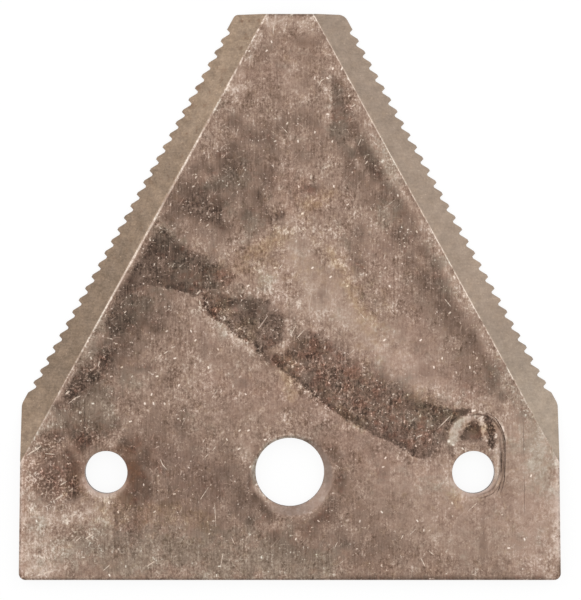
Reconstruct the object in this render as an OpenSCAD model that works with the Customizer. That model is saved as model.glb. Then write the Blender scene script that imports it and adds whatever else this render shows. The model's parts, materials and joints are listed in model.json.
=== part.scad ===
// Mower sickle section: a knife plate stamped from one sheet of hardened steel.
// It lies on its flat underside with the tip toward +Y. The origin is on the
// axis of the centre hole, at the underside. All sizes are in millimetres.

/* [Plate] */
// Thickness of the sheet
plate_thickness = 2.1; // [1.6:0.05:3]
// Length from the heel edge to the tip edge
plate_length = 78.3; // [70:0.1:95]
// Width across the heel edge
heel_width = 75; // [72:0.1:82]
// Width across the shoulders, where the cutting edges start
shoulder_width = 74.4; // [70:0.1:80]
// Length of the plain sides, from the heel edge to the shoulders
side_length = 24.3; // [22:0.1:30]
// Width across the tip edge
tip_width = 15.2; // [12:0.1:24]

/* [Corners] */
// Corner radius at both ends of the heel edge
heel_corner_r = 1; // [0.3:0.1:4]
// Corner radius where a side turns into a cutting edge
shoulder_corner_r = 2; // [0.3:0.1:6]
// Corner radius at the left end of the tip edge
tip_left_corner_r = 0.7; // [0.3:0.1:1.5]
// Corner radius at the right end of the tip edge, which is worn rounder
tip_right_corner_r = 1.4; // [0.3:0.1:1.8]
// Width of the rolled-over rim that the shearing left round the top face
rim_width = 0.4; // [0.1:0.05:0.8]
// Depth of the rolled-over rim
rim_depth = 0.2; // [0.05:0.05:0.5]

/* [Cutting edges] */
// Width of the ground bevel, square to the cutting edge
bevel_width = 3.8; // [2:0.1:6]
// Thickness left at the cutting edge below the bevel
edge_land = 0.3; // [0.1:0.05:0.6]

/* [Serrations] */
// Distance from one tooth to the next along the cutting edge
tooth_pitch = 1.865; // [1.4:0.005:3]
// Depth of the notches between teeth, square to the cutting edge
tooth_depth = 0.6; // [0.2:0.02:0.8]
// Angle between the two flanks of a groove
groove_angle = 104; // [60:1:110]
// Width of the flat at the root of a groove
groove_root = 0.24; // [0.04:0.02:0.3]
// Slope at which a groove runs out into the underside
groove_ramp = 12; // [8:0.5:25]
// Distance along the edge from the tip corner to the first groove
tip_plain = 2.95; // [2:0.05:8]
// Shortest distance along the edge from the last groove to the shoulder
shoulder_plain = 2; // [1.5:0.1:8]

/* [Holes] */
// Distance from the heel edge to the line of holes
hole_setback = 14.9; // [12:0.1:18]
// Distance between the two rivet holes
rivet_spacing = 50.8; // [40:0.1:54]
// Diameter of the rivet holes
rivet_hole_d = 5.9; // [4.5:0.05:7.5]
// Diameter of the centre hole
centre_hole_d = 9.525; // [6:0.025:12]
// Diameter of the worn mouth of the centre hole at the top face
mouth_d = 11.3; // [9.7:0.1:14]
// How far the worn mouth sits off the hole's axis, to the right and toward the heel
mouth_offset = [0.3, -0.5]; // [-0.6:0.05:0.6]
// Angle between opposite sides of the worn mouth
mouth_angle = 120; // [80:1:140]

/* [Bruise at the right rivet hole] */
// Width of the beaten oblong round the hole
bruise_width = 7.6; // [6.2:0.1:9]
// Length of the oblong, along the plate
bruise_length = 11.8; // [9.5:0.1:14]
// Depth of the oblong below the top face
bruise_depth = 0.18; // [0.05:0.01:0.5]
// How far the oblong's middle sits off the hole's axis, to the right and toward the tip
bruise_offset = [0.4, 2.2]; // [-3:0.1:3]

/* [Hidden] */
$fn = 96;

// How far a cutter reaches past what it cuts
overcut = 1;

// Angle at which a corner's arc meets a straight edge
corner_crease = 6;

// Heights of the outline's corners above the line of holes
heel_y = -hole_setback;
shoulder_y = heel_y + side_length;
tip_y = heel_y + plate_length;

// Corners of the outline, counter-clockwise from the left end of the heel edge
heel_left = [-heel_width / 2, heel_y];
heel_right = [heel_width / 2, heel_y];
shoulder_right = [shoulder_width / 2, shoulder_y];
tip_right = [tip_width / 2, tip_y];
tip_left = [-tip_width / 2, tip_y];
shoulder_left = [-shoulder_width / 2, shoulder_y];

// Slant of a cutting edge from the centre line, and its length
edge = tip_right - shoulder_right;
edge_slant = atan2(-edge.x, edge.y);
edge_length = norm(edge);

// How far the bevel runs past the shoulder before it leaves the plain side
bevel_runout = bevel_width / tan(edge_slant) + bevel_width;

// Rise of the bevel and of a groove's root for each millimetre along X
bevel_rise = (plate_thickness - edge_land) / bevel_width * cos(edge_slant);
ramp_rise = tan(groove_ramp);

// Height of a groove's root above the underside, at the line of the tooth tips
root_height = edge_land + tooth_depth / cos(edge_slant) * (bevel_rise + ramp_rise);
groove_run = root_height / ramp_rise;
tooth_count = floor((edge_length - tip_plain - shoulder_plain) / tooth_pitch) + 1;

// Depth of the cone that makes the worn mouth, down to well inside the hole
mouth_inner_r = centre_hole_d / 2 - norm(mouth_offset) - 0.1;
mouth_depth = (mouth_d / 2 - mouth_inner_r) / tan(mouth_angle / 2);

function unit(v) = v / norm(v);

// What a rounded corner takes off: the sector outside its arc. The arc meets the
// straight edges at a slight crease, as a worn stamping die leaves it
module corner_cut(before, corner, after, r) {
    to_before = unit(before - corner);
    to_after = unit(after - corner);
    half_angle = acos(to_before * to_after) / 2;
    depth = r * cos(corner_crease) / sin(half_angle);
    middle = corner + unit(to_before + to_after) * depth;
    foot = depth * cos(half_angle);
    first = corner + to_before * foot;
    last = corner + to_after * foot;
    difference() {
        polygon([middle, 2 * first - middle, 2 * corner - middle, 2 * last - middle]);
        translate(middle)
            circle(r);
    }
}

// Sheared outline of the blank, with its corners rounded
module outline() {
    difference() {
        polygon([heel_left, heel_right, shoulder_right, tip_right, tip_left, shoulder_left]);
        corner_cut(shoulder_left, heel_left, heel_right, heel_corner_r);
        corner_cut(heel_left, heel_right, shoulder_right, heel_corner_r);
        corner_cut(heel_right, shoulder_right, tip_right, shoulder_corner_r);
        corner_cut(shoulder_right, tip_right, tip_left, tip_right_corner_r);
        corner_cut(tip_right, tip_left, shoulder_left, tip_left_corner_r);
        corner_cut(tip_left, shoulder_left, heel_left, shoulder_corner_r);
    }
}

// What lies above a plane that starts on the line from a to b, at the height
// low, and meets the top face at the distance width to the left of that line
module slope_cut(a, b, low, width, runout = overcut) {
    along = b - a;
    slope = atan2(plate_thickness - low, width);
    reach = width / cos(slope) + 2 * overcut;
    translate([a.x, a.y, low])
        rotate([0, 0, atan2(along.y, along.x)])
            rotate([slope, 0, 0])
                translate([-runout, -overcut, 0])
                    cube([norm(along) + 2 * runout, reach, plate_thickness + overcut]);
}

// Ground bevels along both cutting edges
module bevels() {
    slope_cut(shoulder_right, tip_right, edge_land, bevel_width, bevel_runout);
    slope_cut(tip_left, shoulder_left, edge_land, bevel_width, bevel_runout);
}

// Rolled-over rim of the heel, the plain sides and the tip
module rolled_rim() {
    rim_low = plate_thickness - rim_depth;
    slope_cut(heel_left, heel_right, rim_low, rim_width);
    slope_cut(heel_right, shoulder_right, rim_low, rim_width);
    slope_cut(tip_right, tip_left, rim_low, rim_width);
    slope_cut(shoulder_left, heel_left, rim_low, rim_width);
}

// One groove under the right cutting edge. It runs along X from the point
// where its root crosses the line of the tooth tips
module groove() {
    root = root_height * cos(groove_ramp);
    flank = tan(groove_angle / 2);
    drop = 0.15 * tooth_pitch;
    half_root = groove_root / 2;
    half_mouth = half_root + (root + drop) * flank;
    inner = groove_run + overcut;
    outer = tooth_pitch + overcut;
    rotate([0, -groove_ramp, 0])
        translate([-inner, 0, 0])
            rotate([90, 0, 90])
                linear_extrude(inner + outer)
                    polygon([
                        [-half_mouth, -drop], [half_mouth, -drop],
                        [half_root, root], [-half_root, root]
                    ]);
}

// Row of grooves under the right cutting edge
module serration() {
    for (i = [0 : tooth_count - 1]) {
        place = tip_right - unit(edge) * (tip_plain + i * tooth_pitch);
        translate([place.x, place.y, 0])
            groove();
    }
}

// Holes through the plate, with the worn mouth of the centre hole
module holes() {
    depth = plate_thickness + 2 * overcut;
    translate([0, 0, -overcut])
        cylinder(h = depth, d = centre_hole_d);
    for (x = [-rivet_spacing / 2, rivet_spacing / 2])
        translate([x, 0, -overcut])
            cylinder(h = depth, d = rivet_hole_d);
    translate([mouth_offset.x, mouth_offset.y, plate_thickness - mouth_depth])
        cylinder(h = mouth_depth, r1 = mouth_inner_r, d2 = mouth_d);
}

// Beaten oblong round the right rivet hole
module bruise() {
    half_straight = (bruise_length - bruise_width) / 2;
    translate([rivet_spacing / 2 + bruise_offset.x, bruise_offset.y, plate_thickness - bruise_depth])
        linear_extrude(bruise_depth + overcut)
            union() {
                translate([0, half_straight])
                    circle(d = bruise_width);
                translate([0, -half_straight])
                    circle(d = bruise_width);
                square([bruise_width, 2 * half_straight], center = true);
            }
}

module sickle_section() {
    color([0.55, 0.48, 0.44])
        difference() {
            linear_extrude(plate_thickness)
                outline();
            bevels();
            rolled_rim();
            serration();
            mirror([1, 0, 0])
                serration();
            holes();
            bruise();
        }
}

sickle_section();
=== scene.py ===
import json
import math

import bmesh
import bpy
import numpy as np
from bpy.props import FloatProperty, FloatVectorProperty, IntProperty, PointerProperty
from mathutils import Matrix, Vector
from mathutils.geometry import delaunay_2d_cdt


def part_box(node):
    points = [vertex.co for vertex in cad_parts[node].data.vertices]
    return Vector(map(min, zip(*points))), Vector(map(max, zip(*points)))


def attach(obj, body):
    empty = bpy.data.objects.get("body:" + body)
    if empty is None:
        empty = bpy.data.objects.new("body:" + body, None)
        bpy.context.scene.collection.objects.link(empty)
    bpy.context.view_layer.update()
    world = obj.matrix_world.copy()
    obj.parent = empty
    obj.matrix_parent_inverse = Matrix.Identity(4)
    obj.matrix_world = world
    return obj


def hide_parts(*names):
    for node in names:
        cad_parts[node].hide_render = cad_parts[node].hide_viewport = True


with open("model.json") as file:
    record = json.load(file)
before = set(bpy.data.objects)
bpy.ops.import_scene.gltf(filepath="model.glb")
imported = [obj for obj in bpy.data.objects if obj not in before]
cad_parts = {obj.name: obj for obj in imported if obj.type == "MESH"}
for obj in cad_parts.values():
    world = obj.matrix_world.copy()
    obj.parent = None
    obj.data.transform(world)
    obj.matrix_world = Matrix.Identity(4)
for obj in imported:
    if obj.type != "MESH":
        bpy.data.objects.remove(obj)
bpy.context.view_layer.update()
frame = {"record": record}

bl_info = {
    "name": "Mower sickle section",
    "version": (1, 0, 0),
    "blender": (4, 5, 0),
    "location": "3D View > Sidebar > Sickle section",
    "description": "Builds a worn knife plate with ground, serrated edges on its CAD frame",
    "category": "Add Mesh",
}

NODE = "sickle_section"
LOW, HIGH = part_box(NODE)
MOUNTS = {mount["name"]: mount["dims"] for mount in frame["record"]["mounts"]}
MM = 0.001


# Sizes and finishes that a user may change

def length(name, description, millimetres):
    """A length that is written in millimetres and kept in metres."""
    return FloatProperty(name=name, description=description, default=millimetres * MM,
                         unit="LENGTH", precision=6)


def angle(name, description, degrees):
    return FloatProperty(name=name, description=description, default=math.radians(degrees),
                         unit="ROTATION")


def tint(name, description, red, green, blue):
    """A colour that is written as screen values from 0 to 255."""
    linear = [screen_to_linear(value / 255) for value in (red, green, blue)]
    return FloatVectorProperty(name=name, description=description, default=linear,
                               subtype="COLOR", size=3, min=0, max=1)


def power(name, description, watts):
    return FloatProperty(name=name, description=description, default=watts, unit="POWER")


def screen_to_linear(value):
    return value / 12.92 if value <= 0.04045 else ((value + 0.055) / 1.055) ** 2.4


class PlateSizes(bpy.types.PropertyGroup):
    """Sizes of the plate, in the frame's own axes."""

    thickness: length("Thickness", "Thickness of the sheet", (HIGH.z - LOW.z) / MM)
    heel_width: length("Heel width", "Width across the heel edge", 75)
    shoulder_width: length("Shoulder width", "Width where the cutting edges start", 74.4)
    tip_width: length("Tip width", "Width across the tip edge", 15.2)
    heel: length("Heel", "Place of the heel edge along the plate", LOW.y / MM)
    shoulder: length("Shoulder", "Place of the shoulders along the plate", 9.4)
    tip: length("Tip", "Place of the tip edge along the plate", HIGH.y / MM)
    heel_radius: length("Heel corner", "Corner radius at the heel", 1)
    shoulder_radius: length("Shoulder corner", "Corner radius at the shoulders", 2)
    tip_left_radius: length("Left tip corner", "Corner radius at the left of the tip", 0.7)
    tip_right_radius: length("Right tip corner", "Corner radius at the right of the tip", 1.4)
    rim_width: length("Rim width", "Width of the rolled-over rim", 0.4)
    rim_depth: length("Rim depth", "Depth of the rolled-over rim", 0.2)
    bevel_width: length("Bevel width", "Width of the ground bevel, square to the edge", 3.8)
    edge_land: length("Edge land", "Thickness left at the cutting edge", 0.3)
    centre_radius: length("Centre hole", "Radius of the centre hole",
                          MOUNTS["centre_hole"]["r_mm"])
    rivet_radius: length("Rivet holes", "Radius of the rivet holes",
                         MOUNTS["rivet_holes"]["hole_r_mm"])
    rivet_spacing: length("Rivet spacing", "Distance between the rivet holes",
                          MOUNTS["rivet_holes"]["spacing_x_mm"])
    mouth_radius: length("Mouth", "Radius of the centre hole's worn mouth", 5.65)
    mouth_angle: angle("Mouth angle", "Angle between the mouth's opposite sides", 120)
    bruise_radius: length("Bruise", "Half the width of the bruise at the right hole", 3.8)
    bruise_depth: length("Bruise depth", "Depth of the bruise", 0.18)
    grain: length("Grain", "Distance between the points of the top face", 0.3)


class SerrationSizes(bpy.types.PropertyGroup):
    """Sizes of the grooves that make the teeth."""

    pitch: length("Pitch", "Distance from one tooth to the next along the edge", 1.865)
    depth: length("Depth", "Depth of a notch, square to the edge", 0.6)
    flank_angle: angle("Groove angle", "Angle between a groove's flanks", 104)
    root: length("Root", "Width of the flat at a groove's root", 0.24)
    ramp: angle("Ramp", "Slope at which a groove runs out", 12)
    tip_plain: length("Tip plain", "Plain edge from the tip corner to the first groove", 2.95)
    shoulder_plain: length("Shoulder plain", "Least plain edge below the last groove", 2)
    seed: IntProperty(name="Seed", description="Seed of the teeth's unevenness", default=4)


class SteelFinish(bpy.types.PropertyGroup):
    """Colours of the steel as it shows in plain light."""

    soot: tint("Soot", "Darkest stain", 67, 51, 41)
    stain: tint("Stain", "Brown stain", 110, 89, 76)
    steel: tint("Steel", "Bare rolled steel", 151, 127, 112)
    pale: tint("Pale", "Rubbed steel", 176, 152, 136)
    # Also the top of the painted glints and of the painted highlight along the bevels
    bright: tint("Bright", "Fresh scratches and burrs", 246, 231, 217)
    ground: tint("Ground", "Ground bevel", 156, 137, 120)
    rust: tint("Rust", "Rust spots", 128, 88, 60)


class StageLook(bpy.types.PropertyGroup):
    """Camera and light."""

    camera_height: length("Camera height", "Camera above the floor", 420)
    picture_scale: FloatProperty(name="Picture scale", default=7.234,
                                 description="Picture points for each millimetre of the plate")
    sky: FloatProperty(name="Sky", description="Strength of the even light", default=0.5)
    top_light: power("Top light", "Power of the panel overhead", 1.1)
    right_light: power("Right light", "Power of the panel at the right", 0.8)
    left_light: power("Left light", "Power of the panel at the left", 0.55)


# Marks on the top face, in millimetres: x runs to the right and y to the tip

# Dark films: (strength, outline of (x, y, softness of the edge))
FILMS = [
    # Long smear toward the right hole, sharp along its lower side
    (1.0, [(-2.4, 15.6, 0.2), (-1.6, 14.4, 0.2), (-0.6, 13.7, 0.2), (0.6, 13.0, 0.2),
           (1.6, 12.0, 0.2), (2.6, 11.4, 0.2), (3.4, 10.6, 0.2), (5.6, 8.8, 0.15), (7.6, 7.5, 0.15),
           (9.6, 6.4, 0.15), (13.0, 4.5, 0.2), (15.0, 3.6, 0.2), (17.0, 2.3, 0.2), (18.7, 1.6, 0.3),
           (19.6, 2.2, 0.5), (20.4, 3.4, 0.7), (21.7, 4.3, 0.3), (22.0, 5.8, 0.2), (22.7, 7.0, 0.2),
           (24.0, 7.7, 0.2), (24.8, 8.0, 0.2), (25.1, 8.8, 0.15), (22.2, 8.9, 0.15),
           (20.6, 9.2, 0.3), (19.0, 9.7, 0.6), (17.4, 10.2, 0.9), (16.4, 11.5, 1.0),
           (14.4, 12.6, 1.0), (12.0, 13.2, 1.0), (10.0, 14.5, 0.9), (8.4, 16.0, 0.8),
           (6.6, 17.8, 0.8), (5.0, 18.6, 0.8), (3.6, 19.4, 0.6), (2.4, 19.6, 0.5), (1.6, 18.4, 0.5),
           (0.4, 17.2, 0.5), (-1.0, 16.4, 0.5), (-2.0, 16.6, 0.3)]),
    # Broken middle of the smear
    (1.0, [(-12.2, 24.2, 0.2), (-11.4, 25.0, 0.2), (-10.4, 25.3, 0.3), (-9.2, 24.6, 0.4),
           (-7.6, 24.1, 0.3), (-5.6, 24.0, 0.4), (-4.2, 24.1, 0.4), (-2.8, 23.7, 0.5),
           (-1.6, 22.8, 0.5), (-0.8, 21.2, 0.4), (-0.6, 19.8, 0.4), (-1.2, 18.0, 0.4),
           (-2.6, 17.2, 0.3), (-4.2, 16.5, 0.2), (-5.0, 17.4, 0.2), (-5.0, 18.2, 0.2),
           (-6.4, 18.1, 0.2), (-8.0, 19.3, 0.2), (-8.8, 20.3, 0.2), (-10.2, 21.0, 0.2),
           (-10.9, 21.4, 0.2), (-11.6, 22.2, 0.2), (-12.0, 23.0, 0.2)]),
    # Block that reaches the left bevel
    (1.2, [(-20.8, 29.6, 0.4), (-18.9, 32.6, 0.4), (-18.0, 33.8, 0.4), (-17.2, 33.8, 0.4),
           (-16.2, 32.6, 0.5), (-14.6, 31.6, 0.5), (-13.0, 30.4, 0.6), (-11.0, 29.4, 0.6),
           (-9.4, 28.4, 0.8), (-8.0, 27.2, 0.9), (-8.2, 25.8, 0.7), (-10.0, 25.2, 0.5),
           (-12.4, 24.5, 0.3), (-13.2, 24.3, 0.2), (-15.0, 25.0, 0.2), (-17.6, 25.6, 0.3),
           (-19.6, 26.0, 0.5), (-21.0, 25.2, 0.9), (-21.6, 22.6, 1.0), (-22.2, 20.0, 1.0),
           (-24.4, 18.8, 0.6), (-25.6, 20.6, 0.4), (-24.2, 23.8, 0.4)]),
    # Lower end of the band along the left bevel
    (0.7, [(-31.6, 10.4, 0.3), (-30.0, 13.4, 0.4), (-28.6, 15.0, 0.7), (-26.4, 16.6, 0.8),
           (-24.4, 16.8, 0.8), (-24.8, 15.2, 0.8), (-25.8, 13.6, 0.6), (-27.0, 12.4, 0.4),
           (-28.6, 11.3, 0.3), (-30.2, 10.0, 0.3)]),
    # Strip below the tip, sharp along its left
    (0.6, [(5.8, 55.2, 0.25), (5.75, 50.0, 0.15), (5.6, 46.2, 0.25), (7.0, 45.0, 0.9),
           (9.0, 45.8, 1.0), (9.6, 48.0, 1.0), (8.2, 51.0, 0.9), (7.2, 53.6, 0.6)]),
    # Faint film below the left hole, sharp along its left
    (0.45, [(-24.3, -4.2, 0.2), (-24.3, -7.0, 0.12), (-24.6, -10.0, 0.3), (-24.0, -12.0, 1.2),
            (-21.0, -11.0, 1.6), (-19.6, -7.0, 1.6), (-20.6, -4.0, 0.8)]),
    # Beaten hollow beside the right hole
    (1.15, [(23.6, 4.7, 0.2), (24.1, 6.0, 0.2), (25.0, 7.2, 0.2), (26.0, 7.1, 0.2),
            (26.5, 5.6, 0.2), (26.7, 4.5, 0.3), (25.2, 4.2, 0.5)]),
    (1.2, [(26.9, 8.1, 0.15), (28.2, 7.2, 0.15), (28.4, 5.6, 0.15), (28.3, 3.3, 0.15),
           (27.8, 3.4, 0.2), (27.0, 5.4, 0.2)]),
    (0.5, [(21.8, 3.9, 0.3), (22.5, 3.7, 0.2), (23.0, 2.4, 0.2), (22.4, 1.9, 0.2),
           (21.7, 2.9, 0.3)]),
]

# Soft dark patches, most of them stains and two of them painted shade along edges: (softness,
# strength, [(x, y, half width) along the middle])
GRIME_AND_SHADE = [
    # Left side, from the tip down
    (1.4, 0.55, [(-8.2, 45.0, 0.8), (-8.8, 42.2, 1.2)]),
    (2.6, 0.42, [(-6.6, 46.4, 1.2), (-3.0, 46.8, 1.2), (0.4, 49.0, 0.8), (2.6, 48.6, 1.0)]),
    (2.2, 0.50, [(-11.8, 42.0, 1.0), (-6.2, 42.2, 1.4), (-3.2, 40.4, 1.0)]),
    (2.2, 0.42, [(-14.6, 39.4, 1.4), (-9.6, 39.0, 1.8), (-5.0, 38.4, 1.4)]),
    (1.3, 0.80, [(-15.8, 36.4, 0.5), (-12.4, 36.4, 1.2), (-10.2, 35.4, 1.3), (-9.0, 33.8, 0.7)]),
    (0.7, 0.50, [(-17.2, 35.2, 0.3), (-16.2, 34.6, 0.3)]),
    (1.0, 0.45, [(-6.4, 35.8, 0.8)]),
    (1.6, 0.50, [(-4.4, 38.6, 0.6), (-3.4, 36.4, 0.6)]),
    (0.5, 0.85, [(-2.2, 35.4, 0.4), (-1.2, 35.8, 0.3)]),
    (1.4, 0.40, [(-19.0, 31.0, 1.2), (-15.0, 29.0, 1.2), (-11.5, 27.6, 0.8)]),
    (1.8, 0.36, [(-21.4, 25.4, 1.0), (-22.4, 21.6, 1.8), (-23.6, 17.4, 1.8)]),
    (1.6, 0.35, [(-24.6, 14.2, 0.8), (-19.8, 14.6, 0.8)]),
    (2.2, 0.50, [(-20.2, 25.2, 1.0), (-19.6, 22.0, 1.2), (-18.4, 19.8, 0.8)]),
    (2.2, 0.40, [(-16.4, 24.0, 0.8), (-16.6, 21.0, 0.8)]),
    (2.4, 0.40, [(-25.0, 18.4, 1.0), (-20.0, 18.0, 1.2)]),
    (0.8, 0.50, [(-5.2, 22.0, 0.5)]),
    (1.4, 0.55, [(-27.0, 17.0, 0.6), (-25.0, 15.8, 1.2)]),
    (0.9, 0.42, [(-30.2, 11.4, 0.7), (-27.4, 13.2, 0.9)]),
    (0.6, 0.40, [(-29.8, 13.0, 0.4), (-29.2, 13.8, 0.3)]),
    (1.0, 0.35, [(-27.2, 11.4, 0.6)]),
    (1.0, 0.60, [(-32.4, 9.2, 0.5), (-30.6, 10.0, 0.5)]),
    # Round the left hole
    (4.6, 0.32, [(-28.0, 3.0, 3.0), (-33.0, 1.0, 2.0)]),
    (1.4, 0.55, [(-33.2, 0.6, 1.0), (-33.4, -1.6, 0.9), (-33.8, -3.4, 0.6)]),
    (1.0, 0.60, [(-30.4, 2.4, 0.6), (-30.0, -1.0, 0.7), (-29.4, -3.0, 0.4)]),
    (0.9, 0.60, [(-29.4, 3.4, 0.5), (-28.0, 3.6, 0.3)]),
    (0.9, 0.40, [(-30.0, -3.8, 0.6)]),
    (1.2, 0.65, [(-33.0, 5.2, 0.4), (-30.6, 5.4, 0.9), (-28.4, 4.6, 0.5)]),
    (1.8, 0.25, [(-31.6, 8.0, 0.8), (-27.0, 7.6, 0.8)]),
    (1.6, 0.74, [(-22.2, 3.8, 0.4), (-21.0, 2.2, 0.9), (-21.2, -0.4, 1.2), (-21.2, -3.0, 1.4)]),
    (2.0, 0.50, [(-19.4, 1.0, 0.6), (-19.4, -2.4, 1.0)]),
    (1.6, 0.45, [(-28.6, -10.6, 1.0), (-26.6, -10.0, 0.8)]),
    (1.6, 0.25, [(-22.8, -6.2, 0.6), (-23.2, -9.0, 0.4)]),
    # Heel
    (4.2, 0.34, [(-19.0, 6.0, 2.0), (-15.0, 0.0, 3.0), (-11.0, -4.8, 2.0)]),
    (2.6, 0.20, [(-17.8, 2.8, 1.0), (-16.2, -3.2, 1.4)]),
    (1.2, 0.45, [(-14.8, 8.6, 0.6), (-14.8, 4.8, 0.6)]),
    (0.9, 0.60, [(-4.8, -3.4, 0.4), (-2.8, -5.6, 0.5)]),
    (1.0, 0.55, [(6.0, -4.0, 0.5), (4.2, -6.2, 0.6)]),
    (1.8, 0.40, [(6.6, -8.6, 1.0)]),
    (2.4, 0.30, [(-10.0, -0.4, 1.2), (-7.0, -3.0, 1.2), (-5.0, -5.4, 0.8)]),
    (3.6, 0.22, [(-18.0, -7.4, 1.6), (-8.0, -9.0, 2.0), (6.0, -11.6, 2.0)]),
    (1.4, 0.55, [(5.8, 3.0, 0.2), (6.8, 0.6, 0.4), (7.2, -2.4, 0.6)]),
    (1.4, 0.40, [(4.0, -8.2, 0.8)]),
    # Thin dark ring round the upper left of the centre hole's mouth: painted shadow of the mouth's
    # edge
    (0.4, 0.35, [(-5.6, -1.6, 0.1), (-5.5, 1.0, 0.1), (-4.2, 3.6, 0.1), (-2.2, 5.1, 0.1),
                 (0.6, 5.6, 0.1), (3.4, 4.8, 0.2), (4.6, 3.8, 0.2)]),
    (1.6, 0.50, [(2.6, -7.2, 0.6), (5.4, -6.0, 0.8), (6.6, -5.2, 0.5)]),
    (1.2, 0.50, [(-2.0, -8.6, 0.4)]),
    (2.0, 0.25, [(0.4, -10.6, 0.8), (3.0, -10.0, 0.8)]),
    (3.0, 0.30, [(9.0, -6.0, 1.2), (12.0, -9.0, 1.2)]),
    (3.0, 0.25, [(10.0, -12.0, 1.5), (17.0, -12.6, 1.5)]),
    # Dark band along the heel edge at the right: painted shade on the rolled rim
    (0.5, 0.60, [(6.0, -14.6, 0.2), (35.0, -14.6, 0.2)]),
    (0.8, 0.40, [(26.8, -5.0, 0.2), (26.7, -8.0, 0.4), (26.8, -13.0, 0.2)]),
    # Right side, from the tip down
    (1.2, 0.40, [(-1.0, 60.0, 0.3), (0.6, 59.6, 0.3), (3.8, 59.4, 0.4)]),
    (1.0, 0.35, [(6.8, 53.0, 0.5), (7.0, 50.6, 0.6)]),
    (1.4, 0.35, [(-8.0, 48.4, 0.8)]),
    (1.2, 0.40, [(-6.0, 58.2, 0.8)]),
    (1.8, 0.35, [(2.2, 45.0, 1.2), (4.4, 44.4, 0.8)]),
    (1.0, 0.70, [(10.0, 44.8, 0.8), (10.8, 43.0, 0.8), (12.0, 41.0, 0.9)]),
    (2.0, 0.45, [(9.0, 41.4, 1.0), (11.2, 37.6, 1.2)]),
    (0.8, 0.45, [(2.0, 39.4, 0.3), (3.8, 39.4, 0.3)]),
    (1.6, 0.50, [(14.4, 38.8, 0.8), (15.8, 35.6, 0.9), (16.2, 33.0, 0.7)]),
    (1.4, 0.50, [(14.8, 32.4, 0.6), (16.4, 29.8, 0.8), (18.0, 28.0, 0.6)]),
    (1.6, 0.52, [(19.2, 26.4, 1.4), (21.0, 24.4, 1.2), (22.4, 21.6, 1.0)]),
    (1.4, 0.50, [(23.6, 19.8, 0.9), (25.4, 17.6, 0.8), (26.8, 15.4, 0.6)]),
    (1.0, 0.45, [(28.2, 12.2, 0.6)]),
    (1.6, 0.40, [(15.4, 12.4, 0.6), (18.6, 14.0, 0.7)]),
    (2.6, 0.28, [(18.0, 24.0, 1.4), (22.6, 17.0, 1.6), (25.0, 12.4, 1.4)]),
    (1.6, 0.40, [(8.6, 31.6, 0.6), (9.4, 28.6, 0.6)]),
    (2.4, 0.30, [(11.0, 31.6, 1.2), (14.0, 30.4, 1.0)]),
    # Sharp border of the long smear
    (0.4, 0.40, [(5.6, 9.0, 0.3), (8.4, 7.4, 0.4), (11.0, 6.0, 0.3)]),
    # Small patches
    (1.2, 0.40, [(-29.6, 9.6, 0.6), (-28.2, 10.8, 0.5)]),
    (0.6, 0.40, [(28.0, 3.8, 0.4)]),
    (1.6, 0.30, [(-12.0, 22.6, 0.6), (-12.0, 16.4, 1.0), (-16.0, 19.4, 1.0)]),
    (1.4, 0.25, [(4.6, 22.8, 1.0)]),
    (1.0, 0.50, [(-3.5, 16.3, 0.4), (-1.8, 14.9, 0.5)]),
    (1.0, 0.25, [(32.4, 7.4, 0.8)]),
    (1.2, 0.30, [(18.2, 33.2, 0.6)]),
    (1.6, 0.25, [(-3.0, 46.4, 1.2)]),
    (1.2, 0.25, [(6.6, 48.2, 0.8), (11.0, 47.0, 0.8)]),
    (1.4, 0.30, [(-12.0, 36.0, 0.8), (-8.6, 37.0, 0.8)]),
    (0.9, 0.40, [(-0.4, 17.0, 0.3), (1.0, 19.2, 0.4)]),
    (0.8, 0.50, [(29.4, 10.4, 0.5)]),
    (1.4, 0.40, [(4.4, 12.4, 0.6), (4.8, 9.8, 0.6)]),
    (1.4, 0.30, [(4.8, 54.0, 0.6)]),
    (2.0, 0.25, [(4.2, 47.2, 1.2)]),
    (1.6, 0.40, [(8.0, 44.0, 0.9)]),
    (1.2, 0.30, [(12.2, 44.0, 0.5)]),
    (1.6, 0.30, [(-13.4, 42.2, 0.6), (-10.0, 41.2, 0.8)]),
    (1.6, 0.35, [(-18.4, 38.0, 0.8)]),
    (1.6, 0.32, [(-8.4, 36.2, 0.8), (-5.6, 34.2, 0.8), (-2.0, 34.8, 0.6)]),
    (1.4, 0.35, [(-15.6, 33.2, 0.6)]),
    (1.4, 0.40, [(9.0, 33.4, 0.8)]),
    (1.2, 0.35, [(9.0, 29.0, 0.7)]),
    (1.6, 0.30, [(16.0, 29.0, 0.6), (16.4, 26.6, 0.6)]),
    (1.4, 0.35, [(20.4, 29.6, 0.6)]),
    (1.4, 0.35, [(25.2, 21.6, 0.5), (25.6, 19.6, 0.6)]),
    (1.0, 0.40, [(1.5, 17.8, 0.6)]),
    (1.0, 0.40, [(-2.2, 18.6, 0.6)]),
    (1.4, 0.35, [(-19.0, 14.4, 0.7)]),
    (1.2, 0.45, [(28.8, 14.0, 0.7)]),
    (1.4, 0.35, [(-6.4, 12.4, 0.8)]),
    (1.6, 0.35, [(-26.6, 11.8, 0.6), (-24.4, 10.4, 0.6)]),
    (1.2, 0.30, [(-19.4, 9.6, 0.5)]),
    (1.4, 0.35, [(32.2, 8.0, 0.5)]),
    (1.6, 0.30, [(-15.4, 6.0, 0.5), (-15.4, 4.6, 0.5)]),
    (1.4, 0.35, [(-9.2, 4.2, 0.8)]),
    (1.2, 0.35, [(-31.2, 4.2, 0.5), (-30.6, 2.2, 0.5)]),
    (1.6, 0.35, [(13.0, 0.0, 0.8)]),
    (1.2, 0.30, [(-34.6, -2.0, 0.6)]),
    (1.0, 0.40, [(-33.2, -5.0, 0.6)]),
    (2.0, 0.30, [(31.8, -9.6, 1.2)]),
    (1.4, 0.30, [(-15.0, -12.6, 0.8)]),
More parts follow.
